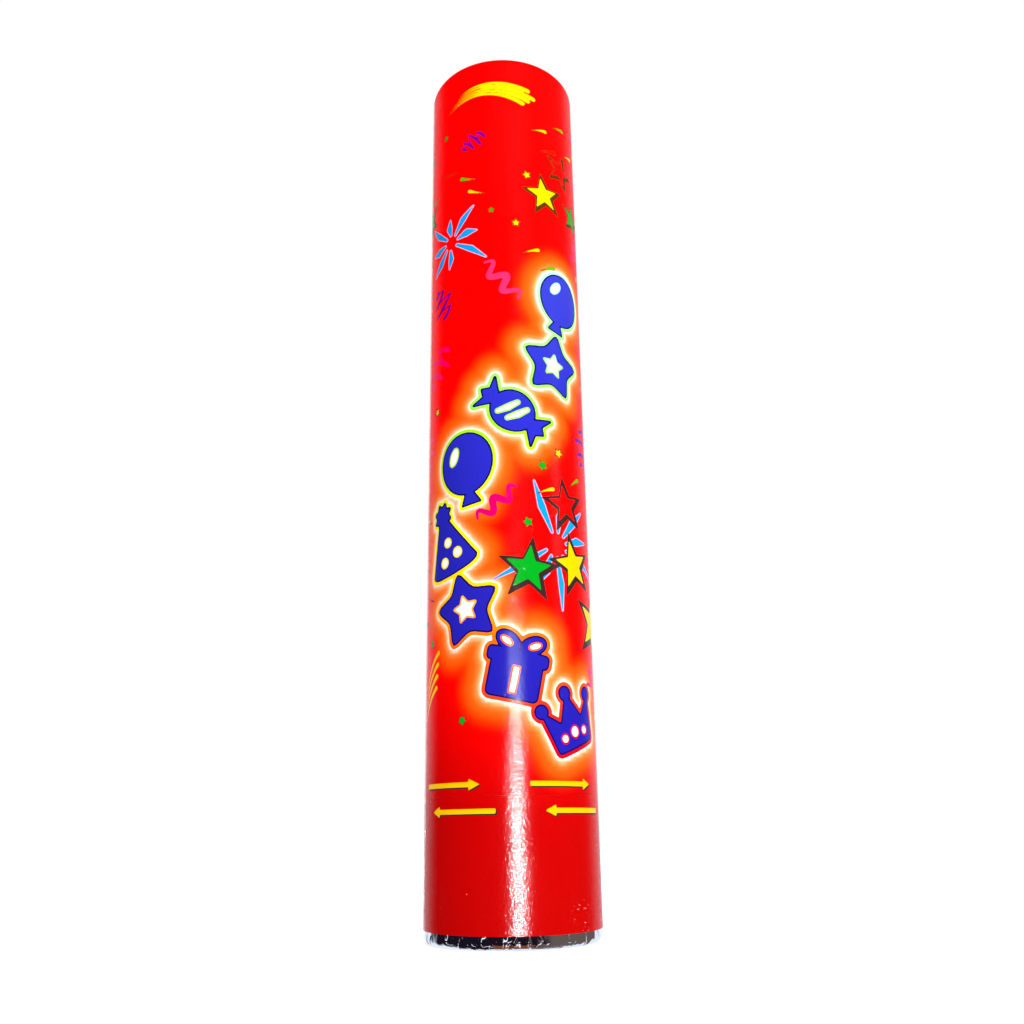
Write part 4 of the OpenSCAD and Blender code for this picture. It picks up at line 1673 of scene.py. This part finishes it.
class Layout(NodeTree):
    """A Geometry Nodes tree with named inputs that is run once and kept as a plain mesh."""

    def __init__(self, name: str) -> None:
        """Start a tree that takes a carrier's points.

        Args:
            name: The tree's name.
        """
        self.name = name
        super().__init__(bpy.data.node_groups.new(name, "GeometryNodeTree"))
        for way in ("INPUT", "OUTPUT"):
            self.tree.interface.new_socket("Geometry", in_out=way, socket_type="NodeSocketGeometry")
        self.start = self.node("NodeGroupInput")
        self.values: dict[str, object] = {}

    def entry(self, name: str, kind: str, value: object) -> Socket:
        """Add a named input.

        Args:
            name: The input's name.
            kind: The last part of its socket's type.
            value: The value that it will be run with.

        Returns:
            The input's socket.
        """
        item = self.tree.interface.new_socket(name, in_out="INPUT", socket_type="NodeSocket" + kind)
        self.values[item.identifier] = value
        return next(socket for socket in self.start.outputs if socket.identifier == item.identifier)

    def random(self, low: object, high: object, seed: Socket) -> Socket:
        """Give each point or instance a random vector between two."""
        inputs = {0: low, 1: high, "Seed": seed}
        return self.node("FunctionNodeRandomValue", inputs, data_type="FLOAT_VECTOR").outputs[0]

    def scatter(self, reach: Socket, low: Triple, high: Triple, seed: Socket) -> Socket:
        """Give each point a random vector between two multiples of a length.

        Args:
            reach: The length.
            low: The lower multiple, for each axis.
            high: The higher one.
            seed: The seed.

        Returns:
            The random vectors.
        """
        ends = [self.node("ShaderNodeVectorMath", {0: share, "Scale": reach}, operation="SCALE").outputs[0]
                for share in (low, high)]
        return self.random(*ends, seed)

    def palette(self, value: Socket, colours: tuple[Rgb, ...]) -> Socket:
        """Pick one of some colours.

        Args:
            value: A value from 0 to 1.
            colours: The colours, which share that range evenly.

        Returns:
            The picked colour.
        """
        ramp = self.node("ShaderNodeValToRGB", {0: value})
        band = ramp.color_ramp
        band.interpolation = "CONSTANT"
        band.elements.remove(band.elements[1])
        for k, colour in enumerate(colours):
            stop = band.elements[0] if k == 0 else band.elements.new(k / len(colours))
            stop.color = opaque(colour)
        return ramp.outputs["Color"]

    def place(self, instance: Socket, seed: Socket, paper: Socket, **inputs: Socket) -> None:
        """End the tree with instances on its points, each dyed in a random tint and made real.

        Args:
            instance: What is put on each point.
            seed: The seed of the tints.
            paper: The material.
            **inputs: Other inputs of the node that places them.
        """
        inputs = {"Points": self.start.outputs[0], "Instance": instance, **inputs}
        put = self.node("GeometryNodeInstanceOnPoints", inputs)
        pick = self.node("FunctionNodeRandomValue", {"Seed": seed}, data_type="FLOAT")
        tint = self.palette(pick.outputs[1], PARTY_TINTS)
        inputs = {"Geometry": put.outputs[0], "Name": "tint", "Value": tint}
        dyed = self.node("GeometryNodeStoreNamedAttribute", inputs, data_type="FLOAT_COLOR",
                         domain="INSTANCE")
        real = self.node("GeometryNodeRealizeInstances", {0: dyed.outputs[0]})
        done = self.node("GeometryNodeSetMaterial", {"Geometry": real.outputs[0], "Material": paper})
        self.node("NodeGroupOutput", {0: done.outputs[0]})

    def run(self, places: np.ndarray, sizes: np.ndarray | None = None) -> Mesh:
        """Run the tree on loose points.

        Args:
            places: The points in metres.
            sizes: A size for each one, stored as slip_size, where the tree reads it.

        Returns:
            The result as a plain mesh.
        """
        carrier = bpy.data.meshes.new(self.name)
        carrier.from_pydata(places.tolist(), [], [])
        if sizes is not None:
            layer = carrier.attributes.new("slip_size", "FLOAT_VECTOR", "POINT")
            layer.data.foreach_set("vector", sizes.ravel())
        holder = bpy.data.objects.new(self.name + "_carrier", carrier)
        bpy.context.scene.collection.objects.link(holder)
        modifier = holder.modifiers.new(self.name, "NODES")
        modifier.node_group = self.tree
        for identifier, value in self.values.items():
            modifier[identifier] = value
        graph = bpy.context.evaluated_depsgraph_get()
        done = holder.evaluated_get(graph)
        mesh = bpy.data.meshes.new_from_object(done, preserve_all_data_layers=True, depsgraph=graph)
        bpy.data.objects.remove(holder)
        return mesh


@dataclass
class ConfettiLayer:
    """One layer of the charge: four bundles of tissue slips that stand on end."""

    name: str
    node: str
    low: float
    turned: bool
    seed: int
    height: float = 46.4
    wide: float = 19.8
    pitch: float = 0.33
    slip: float = 0.2
    lift: float = 0.1
    middle: Point = (10.2, 12.6)
    outer: Point = (12.4, 10.6)
    shuffle: float = 0.25
    tilt: float = 0.004

    def places(self) -> tuple[np.ndarray, np.ndarray]:
        """Work out where the slips stand.

        Returns:
            The middle and the size of each slip in metres.
        """
        spots, sizes = [], []
        mid = self.low + self.height / 2 + self.lift
        bundles = [((way * self.middle[0], 0.0), self.middle[1]) for way in (-1, 1)]
        bundles += [((0.0, way * self.outer[0]), self.outer[1]) for way in (-1, 1)]
        for (x, y), thick in bundles:
            count = int(thick / self.pitch)
            for k in range(count):
                off = (k - (count - 1) / 2) * self.pitch
                spots.append((-(y + off), x, mid) if self.turned else (x, y + off, mid))
                flat = (self.slip, self.wide) if self.turned else (self.wide, self.slip)
                sizes.append((*flat, self.height))
        return np.array(spots) * MM, np.array(sizes) * MM

    def build(self, material: Material) -> None:
        """Build the layer's slips, each a little out of line.

        Args:
            material: The slips' paper.
        """
        tree = Layout(self.name)
        shuffle = tree.entry("Shuffle", "Float", self.shuffle * MM)
        tilt = tree.entry("Tilt", "Float", self.tilt)
        seed = tree.entry("Seed", "Int", self.seed)
        paper = tree.entry("Paper", "Material", material)
        size = tree.node("GeometryNodeInputNamedAttribute", {"Name": "slip_size"}, data_type="FLOAT_VECTOR")
        moves = tree.scatter(shuffle, (-1.0, -0.2, -1.0), (1.0, 0.2, 0.0), seed)
        moved = tree.node("GeometryNodeSetPosition", {"Geometry": tree.start.outputs[0], "Offset": moves})
        cube = tree.node("GeometryNodeMeshCube", {"Vertices Z": 3})
        tree.place(cube.outputs[0], seed, paper, Points=moved.outputs[0], Scale=size.outputs[0],
                   Rotation=tree.scatter(tilt, (-1.0,) * 3, (1.0,) * 3, seed))
        mesh = tree.run(*self.places())
        make_piece(self.name + "_slips", mesh, [material], "charge", self.node)


@dataclass
class StreamerRolls:
    """Rolled paper streamers, in columns of short rolls on end."""

    node: str = "streamer_rolls"
    hole: float = 3.1
    radius: float = 10.2
    strip: float = 0.2
    turns: float = 22.0
    resolution: int = 22
    ring: float = 12.11
    low: float = 143.2
    pitch: float = 9.0
    width: float = 8.7
    layers: int = 4
    columns: int = 3
    seed: int = 5
    smooth_angle: float = 40

    def places(self) -> np.ndarray:
        """Give the middle of each roll.

        Returns:
            One row of coordinates for each, in metres.
        """
        heights = [self.low + self.pitch * layer + self.width / 2 for layer in range(self.layers)]
        turns = [math.radians(360 / self.columns * k) for k in range(self.columns)]
        spots = [(self.ring * math.cos(t), self.ring * math.sin(t), z) for z in heights for t in turns]
        return np.array(spots) * MM

    def build(self, material: Material) -> None:
        """Build the rolls, each a spiral strip of one colour.

        Args:
            material: The streamers' paper.
        """
        tree = Layout("streamers")
        hole, radius, strip, width = (tree.entry(name.title(), "Float", getattr(self, name) * MM)
                                      for name in ("hole", "radius", "strip", "width"))
        turns = tree.entry("Turns", "Float", self.turns)
        seed = tree.entry("Seed", "Int", self.seed)
        paper = tree.entry("Paper", "Material", material)
        inputs = {"Resolution": self.resolution, "Rotations": turns, "Start Radius": hole,
                  "End Radius": radius, "Height": 0.0}
        spiral = tree.node("GeometryNodeCurveSpiral", inputs)
        upright = tree.node("GeometryNodeSetCurveNormal", {"Curve": spiral.outputs[0]}, mode="Z_UP")
        section = tree.node("GeometryNodeCurvePrimitiveQuadrilateral", {"Width": strip, "Height": width})
        inputs = {"Curve": upright.outputs[0], "Profile Curve": section.outputs[0], "Fill Caps": True}
        roll = tree.node("GeometryNodeCurveToMesh", inputs)
        spin = tree.random((0.0, 0.0, 0.0), (0.0, 0.0, 6.28), seed)
        tree.place(roll.outputs[0], seed, paper, Rotation=spin)
        mesh = tree.run(self.places())
        mesh.set_sharp_from_angle(angle=math.radians(self.smooth_angle))
        make_piece("streamer_strips", mesh, [material], "charge", self.node)


@dataclass
class FoamPad:
    """The soft disc that seals the wad against the tube: crowned, with a rounded edge."""

    radius: float = 22.5
    low: float = 136.92
    high: float = 142.9
    edge: float = 1.6
    crown: float = 0.35
    uneven: float = 0.004
    segments: int = 144
    smooth_angle: float = 50
    fill: float = 0.95

    def build(self, material: Material) -> None:
        """Build the pad as a closed turned solid, a little uneven.

        Args:
            material: The foam's material.
        """
        middle = self.radius - self.edge
        profile = [(r, self.low) for r in (0.0, 6.0, 12.0, 17.0, 20.0)]
        profile += arc((middle, self.low + self.edge), self.edge, -90, 0, 6)
        profile += arc((middle, self.high - self.edge - self.crown), self.edge, 0, 90, 6)
        crown = (19.5, 17.0, 12.0, 6.0, 0.0)
        profile += [(r, self.high - self.crown * (r / self.radius) ** 2) for r in crown]
        line = np.array(profile)
        angle = once_round(self.segments)
        uneven = 1 - self.uneven * (1 + np.sin(3 * angle + 1) * np.cos(7 * angle))
        rings = turned(line[:, :1] * uneven, line[:, 1:], angle)
        mesh = revolve("foam_pad", rings, self.smooth_angle)
        piece = make_piece("foam_pad", mesh, [material], "charge", "wad_foam")


@dataclass
class HoldDownSpring:
    """The wound steel spring over the stopper, with closed end turns."""

    mean: float = 4.6
    wire: float = 0.9
    low: float = 112.5
    high: float = 124.4
    lift: float = 5.0
    coils: float = 5.0
    closed: float = 0.75
    ease: float = 0.25
    sides: int = 12
    per_turn: int = 40
    smooth_angle: float = 40

    def centre_line(self) -> np.ndarray:
        """Give the wire's middle, with flat end turns that meet their neighbours.

        Returns:
            One row of coordinates for each place along it, in millimetres.
        """
        turn = np.linspace(0, self.coils, int(self.coils * self.per_turn) + 1)
        rise = np.clip((turn - self.closed) / (self.coils - 2 * self.closed), 0, 1)
        smooth = rise * rise * (3 - 2 * rise) * self.ease + rise * (1 - self.ease)
        z = self.low + self.wire / 2 + smooth * (self.high - self.low - self.wire)
        angle = 2 * math.pi * turn
        return np.stack([self.mean * np.cos(angle), self.mean * np.sin(angle), z], axis=1)

    def build(self, material: Material) -> None:
        """Build the spring.

        Args:
            material: The spring's steel.
        """
        line = self.centre_line()
        radial = unit(line * (1.0, 1.0, 0.0))
        up = np.cross(unit(np.gradient(line, axis=0)), radial)
        round_it = once_round(self.sides)[None, :, None]
        spread = np.cos(round_it) * radial[:, None] + np.sin(round_it) * up[:, None]
        rings = line[:, None] + self.wire / 2 * spread
        first, last = (np.repeat(row[None, None], self.sides, axis=1) for row in (line[0], line[-1]))
        mesh = revolve("hold_down_coil", np.concatenate([last, rings[::-1], first]) * MM, self.smooth_angle)
        piece = make_piece("hold_down_coil", mesh, [material], "barrel", "hold_down_spring")
        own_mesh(piece)


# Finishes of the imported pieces


class PackedPieces:
    """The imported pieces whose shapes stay, with a finish for each."""

    finishes = {
        WoundBoard("wound_board"): ("grip_tube", "barrel_tube", "core_tube"),
        WoundBoard("pale_board", colour=(190, 176, 150), dark=(150, 134, 106)): (
            "grip_liner", "stop_ring", "bearing_ring", "wad_seat_ring"),
        WoundBoard("grey_board", colour=(150, 144, 134), dark=(112, 106, 98)): (
            "base_plug", "bottle_spacers", "wad_disc", "muzzle_disc"),
        DrawnMetal("drawn_aluminium"): ("gas_bottle",),
        DrawnMetal("bright_steel", colour=(186, 187, 190), roughness=0.22): ("cross_pin",),
        MouldedPlastic("white_plastic", colour=(236, 235, 229)): ("cam_collar", "valve_cage"),
        MouldedPlastic("orange_plastic", colour=(232, 92, 24), roughness=0.32): ("stopper",),
        SealRubber(): ("neck_gasket", "stopper_oring"),
    }

    def dress(self) -> None:
        """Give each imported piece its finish."""
        for finish, names in self.finishes.items():
            material = finish.material()
            for name in names:
                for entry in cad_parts[name].material_slots:
                    entry.material = material
                LOG.info("%s: %s", name, material.name)


# Studio


@dataclass
class Surroundings:
    """What lights the scene from all round: a white room, with a dark front for the reflections."""

    shade: float = 0.19
    light: float = 0.62
    dark: Rgba = (0.012, 0.008, 0.016, 1.0)
    grey: Rgba = (0.16, 0.12, 0.105, 1.0)
    grey_from: Point = (0.5, 0.75)
    bright: Rgba = (0.98, 1.06, 1.16, 1.0)
    warm: Rgba = (0.34, 0.07, 0.02, 1.0)
    warm_below: Point = (-0.62, -0.5)
    warm_middle: float = -0.08
    warm_within: Point = (0.4, 0.62)
    roof: Rgba = (0.8, 0.8, 0.8, 1.0)
    roof_from: Point = (0.85, 0.97)
    walls_from: Point = (0.42, 0.74)
    wall_fade: float = 0.5
    fade_between: Point = (0.05, 0.5)
    soft_between: Point = (-0.8, 0.8)
    strips: tuple[float, ...] = (-101.0, -41.0, 3.0, 37.0, 78.0)
    strip_light: float = 1.9
    strip_edge: Point = (0.004, 0.018)
    strips_below: Point = (-0.115, -0.099)

    def build(self) -> None:
        """Build the world: white to the eye, brighter on the right, and banded for reflections."""
        world = bpy.data.worlds.new("white_room")
        world.use_nodes = True
        world.cycles.sampling_method = "NONE"
        g = NodeTree(world.node_tree)
        x, y, z = g.split(g.coordinates("Generated"))
        flat = g.math("MAXIMUM", g.length(x, y), 0.01)
        front = self.front(g, g.math("DIVIDE", x, flat), x, y, z)
        high = (*(value * self.wall_fade for value in self.bright[:3]), 1.0)
        wall = g.mix(g.span(z, *self.fade_between, 0.0, 1.0, "SMOOTHSTEP"), self.bright, high)
        walls = g.span(g.math("DIVIDE", y, flat), *self.walls_from, 0.0, 1.0, "SMOOTHSTEP")
        room = g.mix(g.span(z, *self.roof_from, 0.0, 1.0, "SMOOTHSTEP"), g.mix(walls, front, wall),
                     self.roof)
        sides = ((*[value] * 3, 1.0) for value in (self.shade, self.light))
        soft = g.mix(g.span(x, *self.soft_between, 0.0, 1.0), *sides)
        path = g.node("ShaderNodeLightPath")
        cast = g.mix(path.outputs["Is Glossy Ray"], soft, room)
        seen = g.mix(path.outputs["Is Camera Ray"], cast, WHITE)
        g.wire(seen, g.tree.nodes["Background"].inputs["Color"])
        bpy.context.scene.world = world

    def front(self, g: NodeTree, aside: Socket, x: Socket, y: Socket, z: Socket) -> Socket:
        """Give the dark half of the room in front, with its warm patch and its strips.

        Args:
            g: The world's tree.
            aside: How far to the right a ray goes, as a share of its flat length.
            x: How far it goes to the right.
            y: How far it goes away from the camera.
            z: How far it goes up.

        Returns:
            The colour of the front.
        """
        front = g.mix(g.span(aside, *self.grey_from, 0.0, 1.0, "SMOOTHSTEP"), self.dark, self.grey)
        low = g.span(z, *self.warm_below, 1.0, 0.0, "SMOOTHSTEP")
        off = g.math("ABSOLUTE", g.math("ADD", aside, -self.warm_middle))
        front = g.mix(g.times(low, g.span(off, *self.warm_within, 1.0, 0.0, "SMOOTHSTEP")), front, self.warm)
        stand = g.times(self.stands(g, x, y), g.span(z, *self.strips_below, 1.0, 0.0))
        return g.mix(stand, front, (*[self.strip_light] * 3, 1.0))

    def stands(self, g: NodeTree, x: Socket, y: Socket) -> Socket:
        """Give where the narrow bright strips stand, low in front, that only the foil band reflects.

        Args:
            g: The world's tree.
            x: How far a ray goes to the right.
            y: How far it goes away from the camera.

        Returns:
            A socket that is 1 on a strip and 0 between them.
        """
        turn = g.math("ARCTAN2", x, g.times(y, -1.0))
        share = 0.0
        for place in self.strips:
            off = g.math("ABSOLUTE", g.math("SUBTRACT", turn, math.radians(place)))
            share = g.math("MAXIMUM", share, g.span(off, *self.strip_edge, 1.0, 0.0))
        return share


@dataclass
class Lamp:
    """A rectangular soft light at an angle round the object, in degrees to the right of the front."""

    name: str
    turn: float
    away: float
    height: float
    aim: float
    size: Point
    power: float
    soft: bool = True
    shiny: bool = True
    oval: bool = False
    only: tuple[str, ...] = ()

    def build(self) -> None:
        """Put the light in the scene."""
        light = bpy.data.lights.new(self.name, "AREA")
        light.shape = "ELLIPSE" if self.oval else "RECTANGLE"
        light.size, light.size_y = self.size
        light.energy = self.power
        lamp = bpy.data.objects.new(self.name, light)
        turn = math.radians(self.turn)
        place = Vector((self.away * math.sin(turn), -self.away * math.cos(turn), self.height))
        lamp.location = place
        lamp.rotation_euler = (Vector((0, 0, self.aim)) - place).to_track_quat("-Z", "Y").to_euler()
        lamp.visible_camera = False
        lamp.visible_diffuse = self.soft
        lamp.visible_glossy = self.shiny
        if self.only:
            lit = bpy.data.collections.new(self.name + "_lights")
            for name in self.only:
                lit.objects.link(bpy.data.objects[name])
            lamp.light_linking.receiver_collection = lit
        bpy.context.scene.collection.objects.link(lamp)


@dataclass
class Studio:
    """The floor, the surroundings, the lights and the camera."""

    floor_size: float = 4.0
    floor_grain: Grain = Grain(40)
    floor_light: float = 0.65
    camera_away: float = 0.290
    camera_height: float = 0.0295
    pitch: float = 18.23
    roll: float = -0.865
    yaw: float = -0.285
    lens: float = 33.85

    def build(self) -> None:
        """Set up the whole studio."""
        self.floor()
        Surroundings().build()
        prints = ("grip_print", "barrel_print")
        lamps = (
            Lamp("low_window", turn=8, away=0.9, height=-0.01, aim=-0.01, size=(0.064, 0.23), power=36.0,
                 soft=False, oval=True, only=prints),
            Lamp("low_glow", turn=8, away=0.9, height=-0.07, aim=-0.07, size=(0.15, 0.13), power=7.5,
                 soft=False, oval=True, only=prints),
            Lamp("thin_strip", turn=74, away=0.9, height=0.42, aim=0.1, size=(0.02, 0.3), power=0.6,
                 soft=False),
            Lamp("key", turn=25, away=1.0, height=0.6, aim=0.2, size=(0.6, 0.6), power=11.0, shiny=False),
            Lamp("top", turn=10, away=0.5, height=1.2, aim=0.3, size=(0.9, 0.9), power=7.0, shiny=False),
        )
        for lamp in lamps:
            lamp.build()
        self.camera()
        bpy.context.scene.view_settings.view_transform = "Standard"

    def floor(self) -> None:
        """Add the pale floor."""
        g = Graph("studio_floor")
        grain = g.mix(g.noise(self.floor_grain), (0.96, 0.96, 0.96, 1.0), (0.98, 0.98, 0.98, 1.0))
        material = g.finish(Base_Color=grain, Roughness=0.9, Specular_IOR_Level=0.0, Emission_Color=WHITE,
                            Emission_Strength=self.floor_light)
        s = self.floor_size
        mesh = bpy.data.meshes.new("floor")
        mesh.from_pydata([(-s, -s, 0), (s, -s, 0), (s, s, 0), (-s, s, 0)], [], [(0, 1, 2, 3)])
        mesh.materials.append(material)
        floor = bpy.data.objects.new("floor", mesh)
        bpy.context.scene.collection.objects.link(floor)
        floor.visible_glossy = False
        floor.visible_shadow = False

    def camera(self) -> None:
        """Add the camera, low and close in front of the tube, looking up."""
        lens = bpy.data.cameras.new("camera")
        lens.lens = self.lens
        lens.sensor_width = 36.0
        lens.clip_start = 0.01
        camera = bpy.data.objects.new("camera", lens)
        turns = ((self.yaw, "Z"), (90 + self.pitch, "X"), (self.roll, "Z"))
        yaw, pitch, roll = (Matrix.Rotation(math.radians(angle), 4, axis) for angle, axis in turns)
        place = Matrix.Translation((0, -self.camera_away, self.camera_height))
        camera.matrix_world = place @ (yaw @ pitch @ roll)
        bpy.context.scene.collection.objects.link(camera)
        bpy.context.scene.camera = camera


def main() -> None:
    """Build the popper's looks and its studio."""
    logging.basicConfig(level=logging.INFO, format="%(name)s: %(message)s")
    foil = CrinkledFoil().material()
    PackedPieces().dress()
    art = Artwork()
    art.compose()
    sheet = PrintedSheet(art)
    sheet.prepare()
    printed = [LaminatedPrint().material(), WhitePaper().material()]
    sheet.build("grip_print", low=3.6, high=38.03, body="grip", node="grip_label", materials=printed)
    sheet.build("barrel_print", low=38.06, high=280.0, body="barrel", node="barrel_label", materials=printed)
    FoilCup("base_crinkle", "base_foil", "grip", radius=24.72, low=0.0, high=9.0, edge=1.8,
            seed=3).build(foil)
    FoilCup("muzzle_crinkle", "muzzle_foil", "closure", radius=22.72, low=274.22, high=278.2, edge=0.5,
            seed=8).build(foil)
    HoldDownSpring().build(DrawnMetal("spring_steel", colour=(178, 180, 184), roughness=0.25).material())
    FoamPad().build(CellFoam().material())
    StreamerRolls().build(TissuePaper("streamer_tissue").material())
    slips = TissuePaper("slip_tissue", roughness=0.55).material()
    ConfettiLayer("lower", "confetti_lower", low=179.1, turned=False, seed=11).build(slips)
    ConfettiLayer("upper", "confetti_upper", low=225.9, turned=True, seed=12).build(slips)
    Studio().build()


if __name__ == "__main__":
    main()
